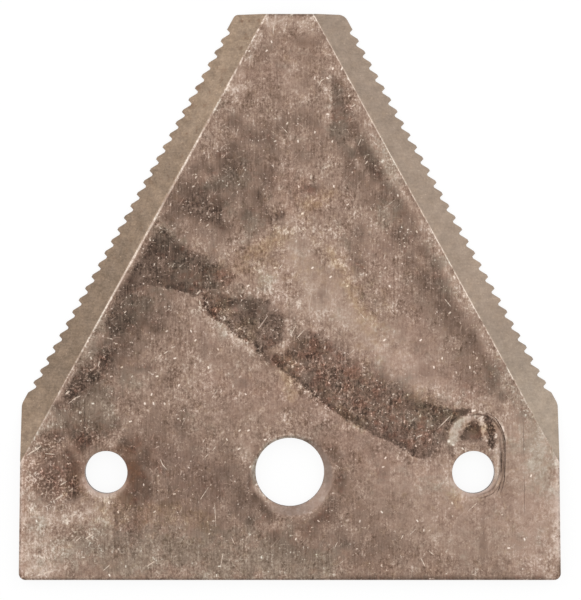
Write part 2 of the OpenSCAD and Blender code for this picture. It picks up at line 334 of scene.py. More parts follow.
    (1.4, 0.35, [(15.6, -13.4, 0.6)]),
    (1.6, 0.20, [(-4.0, 44.2, 0.8), (2.4, 43.2, 0.6)]),
    (1.2, 0.40, [(-16.8, 31.8, 0.6), (-15.2, 31.0, 0.5)]),
    (1.4, 0.30, [(-23.4, 25.0, 0.6), (-20.8, 28.0, 0.5)]),
    (1.8, 0.46, [(-18.4, 38.2, 0.8), (-14.4, 38.4, 0.8), (-10.6, 38.0, 0.8)]),
    (1.2, 0.40, [(3.4, 38.6, 0.4)]),
    (1.4, 0.40, [(-15.4, 32.8, 0.6), (-11.0, 33.0, 0.6)]),
    (1.2, 0.40, [(-10.4, 30.6, 0.6)]),
    (1.4, 0.40, [(18.4, 31.0, 0.5), (21.0, 26.6, 0.6)]),
    (1.4, 0.30, [(2.0, 31.6, 0.6)]),
    (1.4, 0.40, [(-19.4, 28.2, 0.6), (-16.4, 27.0, 0.6), (-13.6, 25.2, 0.5)]),
    (1.2, 0.40, [(-8.6, 23.4, 0.5), (-5.0, 23.4, 0.6)]),
    (1.4, 0.40, [(4.4, 24.6, 0.6)]),
    (1.2, 0.35, [(12.6, 13.6, 0.6)]),
    (0.5, 0.45, [(24.0, 8.3, 0.3)]),
    (1.6, 0.40, [(-26.4, 6.0, 0.6), (-24.0, 6.6, 0.8)]),
    (1.4, 0.40, [(-9.0, 3.4, 0.6), (-6.8, -1.6, 0.5), (-6.6, -5.6, 0.5)]),
    (1.2, 0.40, [(6.8, -1.0, 0.5)]),
    (2.0, 0.30, [(-18.6, -3.0, 1.0)]),
]

# Soft pale patches, in the same form
PALE = [
    # Middle
    (3.2, 0.54, [(2.6, 33.0, 2.0), (1.0, 29.0, 2.0), (4.0, 25.4, 2.2)]),
    (1.8, 0.60, [(6.0, 33.0, 0.8), (7.0, 29.0, 0.8)]),
    (2.4, 0.45, [(3.0, 21.4, 1.0), (8.4, 25.0, 1.0), (11.6, 33.4, 0.8)]),
    (1.6, 0.60, [(-3.6, 26.4, 1.0)]),
    (1.8, 0.80, [(-1.6, 25.0, 0.8), (0.6, 22.8, 0.8)]),
    (2.6, 0.70, [(4.6, 22.6, 1.6), (11.0, 19.0, 1.8), (17.0, 13.8, 1.4)]),
    (1.4, 0.55, [(16.0, 12.8, 0.4), (21.0, 11.0, 0.8), (28.0, 9.2, 0.5)]),
    (1.0, 0.40, [(-12.4, 31.4, 0.4), (-9.6, 30.4, 0.7), (-7.6, 29.6, 0.7)]),
    (1.4, 0.45, [(-12.8, 20.6, 0.8), (-11.2, 19.4, 0.6)]),
    (1.2, 0.45, [(-22.2, 24.0, 0.8)]),
    (0.8, 0.60, [(-5.8, 18.9, 0.5)]),
    (1.4, 0.50, [(5.8, 19.6, 0.8), (9.0, 24.0, 0.8)]),
    # Scraped borders of the smear
    (0.7, 0.80, [(-12.6, 22.2, 0.2), (-9.4, 20.0, 0.3), (-7.4, 18.2, 0.3), (-4.8, 16.4, 0.2)]),
    (0.5, 0.80, [(-9.2, 21.2, 0.3), (-8.6, 22.2, 0.2), (-6.6, 22.8, 0.2)]),
    (0.5, 0.60, [(-0.2, 20.8, 0.2), (0.1, 18.8, 0.3), (-1.0, 16.6, 0.2)]),
    (0.4, 0.50, [(-2.0, 14.4, 0.1), (2.0, 11.2, 0.1), (6.0, 8.4, 0.1)]),
    # Left end of the heel
    (2.0, 0.70, [(-35.4, -5.8, 0.8), (-31.0, -6.2, 1.0), (-26.4, -5.4, 0.6)]),
    (2.4, 0.70, [(-35.6, -10.4, 1.6), (-30.0, -11.4, 1.0), (-26.8, -8.8, 0.6)]),
    (0.5, 0.70, [(-37.0, 8.6, 0.4), (-37.2, -13.6, 0.4)]),
    (1.4, 0.60, [(-36.8, -1.0, 0.3), (-36.5, -13.0, 0.8)]),
    (1.8, 0.70, [(-36.0, 8.0, 0.8), (-33.4, 8.0, 0.6)]),
    (1.0, 0.60, [(-36.2, 6.2, 0.6), (-35.4, 5.0, 0.4)]),
    (1.6, 0.40, [(-32.0, -1.6, 0.8), (-34.0, 0.8, 0.6)]),
    (1.4, 0.70, [(-36.0, 2.4, 0.6), (-35.2, 0.6, 0.6), (-35.0, -3.0, 0.8)]),
    (1.2, 0.90, [(-35.6, -14.2, 0.6), (-32.6, -13.6, 0.7)]),
    (0.4, 0.9, [(-27.7, -2.4, 0.3), (-26.6, -3.4, 0.3), (-25.0, -3.8, 0.2)]),
    (0.6, 1.0, [(-27.8, -2.0, 0.3), (-26.8, -3.2, 0.4), (-25.2, -3.6, 0.3), (-24.0, -3.2, 0.2)]),
    (0.6, 0.55, [(-28.6, 0.6, 0.1), (-28.4, -1.6, 0.2)]),
    (0.4, 0.80, [(-25.2, 4.0, 0.2), (-24.2, 3.8, 0.3)]),
    (1.2, 0.60, [(-6.6, 4.4, 0.4), (-6.4, 2.2, 0.3)]),
    (0.3, 0.95, [(-2.4, -4.8, 0.3), (-4.6, -2.4, 0.3), (-5.0, 0.6, 0.3), (-3.4, 3.7, 0.3),
                 (0.0, 5.1, 0.3), (2.0, 4.8, 0.2)]),
    # Right end of the heel
    (3.4, 0.60, [(34.0, 8.0, 1.5), (34.4, -2.0, 2.4), (34.0, -11.0, 3.0)]),
    (0.8, 0.70, [(36.9, 8.6, 0.5), (37.0, -13.4, 0.4)]),
    (2.2, 0.45, [(35.0, 7.0, 0.8), (35.4, 2.0, 1.0)]),
    (2.6, 0.18, [(19.4, -9.0, 1.4), (26.4, -10.8, 1.6)]),
    (2.4, 0.45, [(31.0, 10.0, 0.6), (31.0, 6.4, 0.8), (30.8, -1.0, 0.8)]),
    (3.6, 0.35, [(14.0, 0.0, 2.0), (22.0, -4.0, 2.4), (30.0, -8.0, 2.0)]),
    (0.8, 0.60, [(22.6, -2.6, 0.3), (25.4, -3.8, 0.4), (28.0, -2.8, 0.3)]),
    (0.8, 0.50, [(22.0, 1.0, 0.3), (21.8, -1.4, 0.4)]),
    # Tip
    (0.5, 0.40, [(5.1, 53.0, 0.4), (5.0, 50.0, 0.4), (4.6, 46.6, 0.3)]),
    (0.7, 0.60, [(5.0, 58.0, 0.3), (6.6, 55.6, 0.3)]),
    (1.4, 0.55, [(1.8, 52.0, 0.5), (-0.4, 52.8, 0.8), (0.6, 56.4, 0.4)]),
    (0.6, 0.80, [(-8.6, 53.4, 0.5), (-8.0, 52.4, 0.6)]),
    (1.0, 0.55, [(-7.2, 54.4, 0.6), (-6.8, 52.6, 0.5)]),
    (0.6, 0.90, [(-3.4, 62.6, 0.5), (-2.2, 62.4, 0.5)]),
    (0.8, 0.80, [(-3.6, 62.6, 0.6), (-2.6, 61.6, 0.4)]),
    (0.9, 0.50, [(-4.0, 60.8, 0.4), (-6.8, 55.4, 0.6), (-8.4, 52.6, 0.4)]),
    (1.2, 0.50, [(-2.0, 62.4, 0.6), (3.4, 61.8, 0.8)]),
    (0.5, 0.60, [(-3.2, 61.4, 0.4), (-2.8, 60.6, 0.4)]),
    # Inside the right bevel
    (0.8, 0.60, [(10.6, 47.8, 0.4), (13.6, 42.6, 0.6), (16.8, 36.8, 0.4)]),
    (1.0, 0.55, [(18.8, 33.8, 0.4), (21.4, 28.6, 0.6), (25.4, 21.2, 0.6), (29.0, 14.8, 0.6),
                 (30.8, 11.6, 0.5)]),
    # Lip of the bruise
    (0.4, 1.0, [(22.6, 4.2, 0.5), (22.7, 5.7, 0.6), (23.4, 6.8, 0.5), (24.4, 7.4, 0.3),
                (25.6, 7.9, 0.2)]),
    (0.4, 0.8, [(22.7, 5.2, 0.4), (23.3, 6.6, 0.3), (24.2, 7.3, 0.2)]),
    (0.3, 0.90, [(26.2, 7.4, 0.3), (26.9, 6.4, 0.3), (27.2, 4.6, 0.2)]),
    (0.4, 0.90, [(28.7, 3.6, 0.25), (28.7, -1.6, 0.25)]),
    (0.5, 0.80, [(23.2, 2.8, 0.3), (24.2, 3.4, 0.3)]),
    # Painted highlight along the upper side of the bruise's outer edge
    (0.3, 0.80, [(28.2, 7.9, 0.1), (29.4, 6.4, 0.1), (29.9, 4.8, 0.1)]),
    # Small patches
    (1.4, 0.40, [(-26.4, 16.0, 0.8), (-28.0, 17.4, 0.6)]),
    (1.6, 0.40, [(-14.0, 27.0, 1.2)]),
    (1.0, 0.40, [(0.0, 15.6, 0.4), (0.0, 10.4, 0.4)]),
    (1.4, 0.40, [(6.4, 15.6, 0.8)]),
    (1.2, 0.35, [(1.8, 56.4, 0.4)]),
    (1.4, 0.35, [(0.4, 50.6, 0.6)]),
    (1.6, 0.40, [(1.6, 37.4, 0.6), (5.2, 38.0, 0.6)]),
    (1.4, 0.40, [(6.0, 30.8, 0.6)]),
    (1.0, 0.35, [(13.2, 29.8, 0.5)]),
    (1.4, 0.35, [(8.6, 23.0, 0.8), (10.4, 21.4, 0.6)]),
    (1.2, 0.50, [(-2.4, 22.8, 0.5), (0.0, 22.8, 0.6)]),
    (2.0, 0.30, [(18.2, 19.6, 1.2), (21.6, 16.0, 0.8)]),
    (1.0, 0.40, [(5.6, 19.0, 0.5), (6.6, 16.6, 0.5)]),
    (0.8, 0.40, [(-0.4, 15.0, 0.5)]),
    (1.0, 0.35, [(9.4, 14.0, 0.4), (11.8, 12.2, 0.4)]),
    (1.2, 0.35, [(-21.4, 10.6, 0.5)]),
    (0.8, 0.50, [(27.4, 8.7, 0.3), (28.6, 8.0, 0.3)]),
    (1.2, 0.35, [(14.0, 6.4, 0.6)]),
    (1.4, 0.35, [(19.8, 6.0, 0.7)]),
    (1.6, 0.30, [(13.0, 8.6, 0.8), (16.4, 7.4, 0.8)]),
    (1.0, 0.45, [(-32.0, -2.8, 0.5)]),
    (1.4, 0.40, [(-29.4, -6.0, 0.7)]),
    (1.2, 0.60, [(-35.6, -12.6, 0.8)]),
    (1.4, 0.40, [(2.6, 60.8, 0.6)]),
    (1.0, 0.45, [(-9.6, 26.8, 0.7)]),
    (1.2, 0.50, [(-13.6, 32.8, 0.6), (-11.4, 32.2, 0.5)]),
    (1.4, 0.40, [(5.0, 41.0, 0.6)]),
    (1.6, 0.35, [(7.0, 36.6, 0.8)]),
    (1.2, 0.40, [(15.8, 34.0, 0.6)]),
    (1.2, 0.40, [(-1.4, 33.0, 0.6)]),
    (1.6, 0.40, [(6.0, 32.0, 0.6), (6.2, 28.0, 0.6)]),
    (0.9, 0.40, [(-8.6, 21.4, 0.4), (-5.6, 18.8, 0.4)]),
    (1.8, 0.35, [(-14.6, 16.4, 0.8), (-12.6, 12.0, 1.0), (-12.0, 9.0, 0.6)]),
    (1.2, 0.40, [(-33.6, 6.0, 0.5)]),
    (1.4, 0.40, [(9.8, 6.4, 0.4)]),
    (0.5, 0.70, [(23.2, 3.0, 0.4)]),
    (1.6, 0.40, [(-30.0, -6.4, 0.8), (-27.6, -5.8, 0.6)]),
    (1.4, 0.80, [(36.2, -13.2, 0.8)]),
]

# Soft rust and red-brown stains, in the same form
RUST = [
    (1.2, 0.55, [(-23.6, 3.4, 0.2), (-22.2, 2.4, 0.4), (-21.4, 0.0, 0.6), (-22.2, -2.2, 0.5),
                 (-23.2, -3.4, 0.3)]),
    (1.8, 0.30, [(-21.0, 1.0, 0.8), (-20.6, -2.4, 1.0)]),
    (1.2, 0.40, [(-29.4, 1.8, 0.6), (-29.6, -0.8, 0.6)]),
    (1.2, 0.55, [(-12.8, 53.2, 0.4)]),
    (0.8, 0.50, [(-13.6, 50.8, 0.2)]),
    (0.9, 0.40, [(-9.2, 55.6, 0.2)]),
    (0.8, 0.40, [(-0.4, 14.8, 0.4)]),
]

# Grey-green stains, in the same form
OLIVE = [
    (2.4, 0.95, [(34.4, 6.0, 2.0), (34.4, -1.0, 1.6)]),
    (0.6, 1.0, [(37.1, 9.0, 0.4), (37.2, 3.0, 0.4)]),
    (1.6, 0.80, [(-28.4, 15.0, 0.8), (-26.6, 18.0, 0.6)]),
    (1.6, 0.80, [(-28.0, 8.2, 1.0)]),
    (1.6, 0.80, [(9.6, 6.6, 0.6), (15.6, 8.4, 0.8), (18.0, 6.8, 0.8)]),
    (1.2, 0.80, [(18.4, -1.0, 0.6), (22.0, -2.8, 0.6)]),
    (1.6, 0.80, [(31.4, 3.6, 0.8)]),
    (1.2, 0.70, [(18.0, 35.0, 0.6)]),
    (1.6, 0.70, [(-35.0, 3.4, 0.8)]),
    (1.6, 0.70, [(-34.8, -6.8, 0.8)]),
    (0.8, 0.80, [(22.4, 4.4, 0.4), (23.4, 7.0, 0.4)]),
    (0.4, 1.0, [(-4.9, -1.6, 0.2), (-4.8, 1.2, 0.2), (-3.0, 4.0, 0.2), (0.0, 5.0, 0.2),
                (2.8, 4.2, 0.2)]),
    (1.6, 0.80, [(-29.0, 8.6, 0.8), (-26.0, 8.0, 0.8)]),
    (1.4, 0.80, [(6.8, 52.0, 0.8), (6.8, 47.6, 1.0)]),
    (0.8, 0.80, [(7.4, 33.0, 0.4), (8.0, 31.4, 0.4)]),
    (2.4, 0.60, [(18.0, 7.0, 1.4), (23.0, 8.4, 0.6)]),
    (2.4, 0.50, [(12.0, 15.2, 0.8), (17.0, 10.8, 0.8)]),
    (2.4, 0.60, [(-15.0, 28.0, 1.6), (-5.0, 23.0, 1.0)]),
    (3.0, 1.0, [(-24.0, -11.0, 2.6), (-6.0, -11.4, 2.6), (5.0, -12.6, 1.6)]),
    (3.0, 0.90, [(-31.0, -11.6, 1.4), (-27.0, -9.0, 2.4)]),
    (2.4, 0.70, [(-18.0, 25.0, 1.0), (-24.0, 21.4, 1.2), (-26.6, 18.6, 1.0)]),
    (2.4, 0.90, [(-26.4, 10.6, 1.2), (-26.0, 7.8, 1.6), (-32.4, 7.0, 1.0)]),
    (1.4, 0.90, [(-8.4, 36.4, 0.8), (-5.0, 34.6, 0.8)]),
    (1.2, 0.90, [(7.0, 34.0, 0.6)]),
    (1.2, 0.90, [(-3.6, 26.4, 1.0)]),
    (2.0, 0.80, [(-10.0, 40.2, 1.2), (-6.0, 41.0, 1.0)]),
    (2.0, 0.80, [(9.6, 45.0, 1.0), (13.6, 43.0, 0.6), (15.4, 38.0, 0.8), (13.6, 35.6, 0.8)]),
    (1.6, 0.70, [(22.0, 25.4, 1.0)]),
    (1.6, 0.70, [(-9.4, 19.6, 0.8)]),
    (1.8, 0.70, [(-21.6, 13.0, 1.0)]),
    (2.0, 0.60, [(19.6, 29.4, 1.0), (23.0, 29.0, 0.8)]),
    (2.0, 0.70, [(28.8, 13.6, 1.0), (33.0, 8.6, 1.0)]),
    (1.4, 0.70, [(-18.0, 33.6, 1.2), (-14.6, 30.6, 1.0)]),
]

# Red-brown casts, in the same form
WARM = [
    (2.4, 1.0, [(0.0, 16.6, 1.0), (5.0, 14.0, 2.2), (10.0, 10.4, 2.2), (14.0, 7.4, 2.0),
                (17.6, 4.4, 1.0)]),
    (3.0, 1.0, [(-34.0, 1.0, 2.0), (-30.0, 3.6, 2.0), (-27.0, 5.0, 1.0)]),
    (2.4, 1.0, [(-21.6, 3.0, 1.0), (-20.6, -2.0, 1.6)]),
    (1.8, 0.5, [(-2.4, 36.8, 1.0)]),
    (2.4, 0.6, [(6.0, 4.0, 0.8), (7.6, -3.0, 1.0), (2.0, -8.0, 1.0)]),
    (2.0, 0.6, [(-1.0, 59.6, 1.0), (3.6, 58.4, 1.0)]),
    (2.0, 0.6, [(9.0, -13.4, 1.0), (20.0, -13.6, 1.0)]),
    # Arch of tan stain round the middle
    (1.6, 1.0, [(-10.6, 22.6, 0.6), (-10.0, 26.0, 0.8), (-6.0, 29.4, 0.8), (-2.4, 32.0, 0.6)]),
    (2.0, 1.0, [(1.6, 39.8, 0.6), (4.0, 36.4, 1.2)]),
    (1.6, 0.8, [(5.4, 32.0, 0.6), (7.6, 27.6, 0.8), (9.6, 23.6, 0.8), (11.4, 20.6, 0.8)]),
    (1.2, 0.9, [(-0.4, 14.8, 0.6)]),
    (1.6, 0.7, [(3.6, 11.4, 0.6), (9.6, 6.4, 0.8)]),
    (1.4, 0.6, [(21.0, 10.6, 0.6), (25.0, 10.6, 0.6)]),
    (2.4, 1.0, [(-34.0, -1.4, 1.0), (-31.0, -0.8, 1.4), (-29.4, -2.4, 1.0)]),
    (2.0, 1.0, [(-21.8, -3.0, 1.0), (-21.8, -6.6, 0.8)]),
    (2.0, 1.0, [(4.0, 17.6, 1.0), (7.0, 14.0, 1.2), (11.0, 9.6, 1.2), (15.0, 8.6, 0.8)]),
    (1.0, 0.9, [(25.4, 6.0, 0.8), (28.0, 6.4, 0.8)]),
    (1.4, 0.8, [(-29.6, 11.8, 0.6), (-25.6, 15.8, 0.6)]),
    (0.8, 1.0, [(-37.0, 9.0, 0.6), (-37.2, -14.0, 0.6)]),
    (2.0, 0.8, [(-0.4, 38.4, 1.0), (4.0, 38.0, 1.0)]),
    (1.6, 0.9, [(-7.6, 27.4, 1.0)]),
    (3.0, 0.5, [(-8.0, 13.6, 1.4), (0.0, 9.0, 1.4)]),
    (2.4, 0.5, [(10.0, 1.6, 1.4), (16.0, 0.8, 1.4)]),
    (1.6, 0.6, [(12.6, 19.6, 0.8)]),
    (2.0, 0.6, [(13.4, 42.6, 1.6)]),
    (1.6, 0.6, [(7.2, 49.6, 0.8)]),
    (3.0, 0.8, [(-20.4, 1.4, 1.6), (-20.4, -4.0, 1.6)]),
    (2.0, 0.5, [(-5.0, 17.6, 1.0), (1.0, 13.6, 1.0)]),
    (1.6, 0.8, [(-13.6, 26.0, 1.0)]),
    (1.6, 0.6, [(23.0, -2.6, 0.6), (24.4, -5.6, 0.6)]),
]

# Pinkish casts, in the same form
PINK = [
    (2.4, 0.8, [(-5.6, 54.6, 1.0), (-1.4, 54.8, 0.8)]),
    (1.6, 0.8, [(7.0, 50.4, 0.8)]),
    (3.0, 0.8, [(-1.0, 39.6, 1.4), (5.6, 38.0, 1.4)]),
    (2.0, 0.8, [(-0.6, 28.0, 0.8), (-1.0, 21.6, 0.8)]),
    (2.4, 0.8, [(12.4, 30.6, 1.0), (15.0, 24.6, 1.0), (18.0, 19.0, 1.2)]),
    (2.6, 0.7, [(-13.6, 18.4, 1.2)]),
    (3.4, 0.9, [(4.0, 17.6, 1.2), (7.6, 16.0, 1.2), (18.0, 15.0, 2.0), (24.0, 11.4, 1.4)]),
    (4.0, 0.9, [(-10.0, 12.0, 1.4), (0.0, 10.4, 2.0), (7.0, 6.6, 2.0), (14.0, 2.0, 3.0),
                (18.0, 0.6, 1.6)]),
    (3.0, 0.8, [(-18.0, 2.0, 1.6), (-11.0, -1.0, 1.6), (-13.0, -4.0, 1.6)]),
    (3.0, 0.8, [(-35.0, 0.0, 1.0), (-29.0, -1.0, 1.6)]),
    (3.0, 0.8, [(22.0, -5.0, 1.6), (33.6, -4.6, 1.8), (34.0, -12.4, 1.8)]),
    (0.6, 1.0, [(-37.2, 9.0, 0.5), (-37.3, -14.0, 0.5)]),
    (0.6, 1.0, [(37.2, 2.0, 0.4), (37.3, -12.0, 0.4)]),
]

# Tan casts, in the same form: an arch round the middle, the smear's borders and the left hole
TAN = [
    (1.4, 0.9, [(-6.0, 29.4, 0.6), (-1.4, 32.6, 0.8)]),
    (1.4, 0.9, [(2.6, 36.6, 1.0), (5.6, 38.4, 0.8)]),
    (1.4, 0.9, [(5.0, 31.6, 0.6), (6.8, 28.6, 0.8), (9.0, 24.0, 0.8), (11.0, 20.6, 0.8)]),
    (1.4, 0.7, [(-9.6, 22.4, 0.8), (-5.6, 19.4, 0.8)]),
    (1.2, 1.0, [(-0.4, 14.6, 0.7), (0.4, 11.0, 0.5)]),
    (1.2, 0.8, [(4.0, 11.4, 0.5), (10.0, 6.4, 0.6)]),
    (1.4, 0.7, [(16.6, 11.0, 0.6), (22.6, 8.0, 0.6)]),
    (2.0, 0.6, [(-26.0, -5.0, 1.0), (-22.0, -4.0, 0.8), (-23.6, -7.0, 0.6)]),
    (2.0, 0.6, [(-17.0, -5.0, 0.8), (-11.8, -7.0, 0.8)]),
    (1.0, 0.7, [(22.6, -2.6, 0.5), (23.4, -5.0, 0.5)]),
    (1.2, 0.7, [(25.0, 6.0, 0.6), (28.0, 6.0, 0.6)]),
    (2.4, 0.5, [(-10.0, 28.0, 1.2), (6.0, 28.0, 1.2)]),
    (2.0, 0.5, [(3.4, 17.4, 1.4), (-0.4, 15.0, 1.0)]),
    (2.0, 0.6, [(21.0, 7.4, 1.0), (18.0, 8.4, 0.8)]),
    (3.0, 0.5, [(-29.0, -2.6, 1.0), (-25.0, -4.4, 1.0), (-20.0, -6.0, 1.6), (-13.0, -6.0, 1.6)]),
    (3.0, 0.4, [(12.0, 24.0, 1.6), (10.0, 12.0, 1.6)]),
]

# Crusts of pale flecks over dark stain, in the same form
CRUST = [
    # Burr along the lower edge of the smear
    (0.60, 1.0, [(0.4, 12.7, 0.30), (2.0, 11.4, 0.34), (3.6, 10.2, 0.32), (5.2, 8.9, 0.26)]),
    (0.60, 0.9, [(-4.6, 16.6, 0.34), (-3.2, 15.6, 0.30)]),
    # Round the left hole, along the left bevel and in the smear
    (2.0, 0.9, [(-35.4, 2.6, 0.8), (-32.4, 4.2, 0.9)]),
    (1.4, 0.7, [(-30.4, 4.6, 0.6), (-24.0, 5.0, 0.6)]),
    (2.0, 1.0, [(-34.4, -1.0, 1.2), (-30.6, -2.6, 0.9)]),
    (1.4, 0.8, [(-28.6, 18.6, 0.8), (-26.6, 19.6, 0.6)]),
    (1.6, 0.8, [(-29.8, -8.6, 0.8), (-27.0, -8.8, 0.6)]),
    (1.4, 0.8, [(-30.6, 10.8, 0.6), (-27.0, 13.8, 1.0), (-25.4, 16.4, 0.8)]),
    (1.0, 0.8, [(-11.6, 23.0, 0.6), (-8.6, 21.0, 0.6), (-5.6, 18.4, 0.4)]),
    (1.0, 0.7, [(0.6, 18.8, 0.6)]),
    (1.6, 0.6, [(4.0, 15.0, 1.2), (9.0, 9.6, 1.4)]),
    (0.5, 0.8, [(27.8, 7.4, 0.4), (28.0, 4.0, 0.3)]),
]

# Painted glints on the torn metal round the bruise, in the same form
GLINTS = [
    (0.15, 0.9, [(24.7, 8.0, 0.06)]),
    (0.15, 1.0, [(25.3, 8.5, 0.1), (25.6, 8.6, 0.06)]),
    (0.15, 0.8, [(26.2, 8.4, 0.06), (26.5, 8.4, 0.06)]),
    (0.15, 0.8, [(25.6, 7.5, 0.06)]),
    (0.15, 0.8, [(26.7, 7.7, 0.06)]),
    (0.15, 0.9, [(27.7, 8.0, 0.06)]),
    (0.15, 0.7, [(27.0, 5.9, 0.04), (27.2, 6.4, 0.04)]),
    (0.15, 1.0, [(28.5, 4.9, 0.06), (28.5, 5.2, 0.06)]),
    (0.15, 0.8, [(27.8, 3.8, 0.04)]),
    (0.15, 0.7, [(27.3, 4.4, 0.04)]),
    (0.15, 0.6, [(29.4, 6.3, 0.04), (29.6, 5.7, 0.04)]),
    (0.15, 0.9, [(22.0, 4.3, 0.06)]),
    (0.15, 0.7, [(22.6, 3.8, 0.06)]),
]

# Places where the steel is smoother than elsewhere, in the same form
SMOOTH = [
    (2.4, 1.0, [(31.0, 4.0, 1.0), (34.0, 4.0, 2.4), (34.0, -6.0, 2.4)]),
    (2.0, 0.8, [(30.6, 2.0, 1.0), (30.6, -3.0, 1.0)]),
    (4.0, 0.75, [(12.0, -3.0, 3.0), (30.0, -6.0, 6.0)]),
    (0.6, 1.0, [(22.4, 4.6, 0.5), (23.2, 6.8, 0.5), (24.6, 7.6, 0.4)]),
    (0.8, 1.0, [(24.6, 5.2, 0.8), (25.6, 5.6, 0.8)]),
    (1.6, 1.0, [(29.0, 4.0, 0.5), (30.8, 6.0, 0.8), (30.8, -3.0, 1.0), (29.0, -2.0, 0.5)]),
    (1.6, 0.8, [(-21.4, 2.0, 0.8), (-20.6, -3.0, 1.0)]),
    (2.4, 0.7, [(-2.0, 60.0, 1.5), (3.0, 57.0, 1.5), (0.0, 53.0, 1.5)]),
    (2.4, 0.9, [(8.0, 21.0, 1.6), (17.0, 14.0, 1.6)]),
    (3.0, 0.5, [(-2.0, 10.0, 2.0), (-10.0, 16.0, 2.0)]),
    (2.0, 1.0, [(1.5, 30.0, 1.4), (5.0, 25.5, 2.6), (8.0, 22.0, 1.6)]),
    (1.8, 0.9, [(15.0, 19.4, 1.4), (17.6, 18.6, 1.4), (20.0, 13.4, 1.2)]),
    (1.8, 0.8, [(-9.0, 6.8, 0.8), (-5.0, 7.8, 1.0)]),
    (1.2, 0.8, [(-7.4, 5.4, 1.0), (-5.6, 3.0, 0.4)]),
    (1.8, 0.6, [(-21.0, 13.0, 1.2), (-19.6, 9.4, 1.2)]),
    (1.4, 0.8, [(8.0, 4.6, 0.4), (14.0, 0.8, 0.8), (18.4, -2.0, 1.2)]),
    (2.0, 0.6, [(23.5, -9.6, 1.2), (27.0, -13.0, 1.2)]),
    (1.6, 0.6, [(-24.0, -6.4, 1.0)]),
    (1.4, 0.6, [(-29.0, -13.8, 0.8), (-21.0, -13.4, 1.4)]),
    (1.2, 0.6, [(4.6, -6.4, 1.0)]),
    (1.6, 0.5, [(-6.4, 55.6, 1.2), (-4.0, 53.6, 1.0)]),
    (1.2, 0.5, [(-23.5, 27.2, 0.6), (-20.0, 26.6, 0.8)]),
    (1.6, 0.5, [(6.4, 50.0, 1.0), (9.0, 44.0, 1.0)]),
    (1.6, 0.5, [(34.4, -10.2, 1.4)]),
]

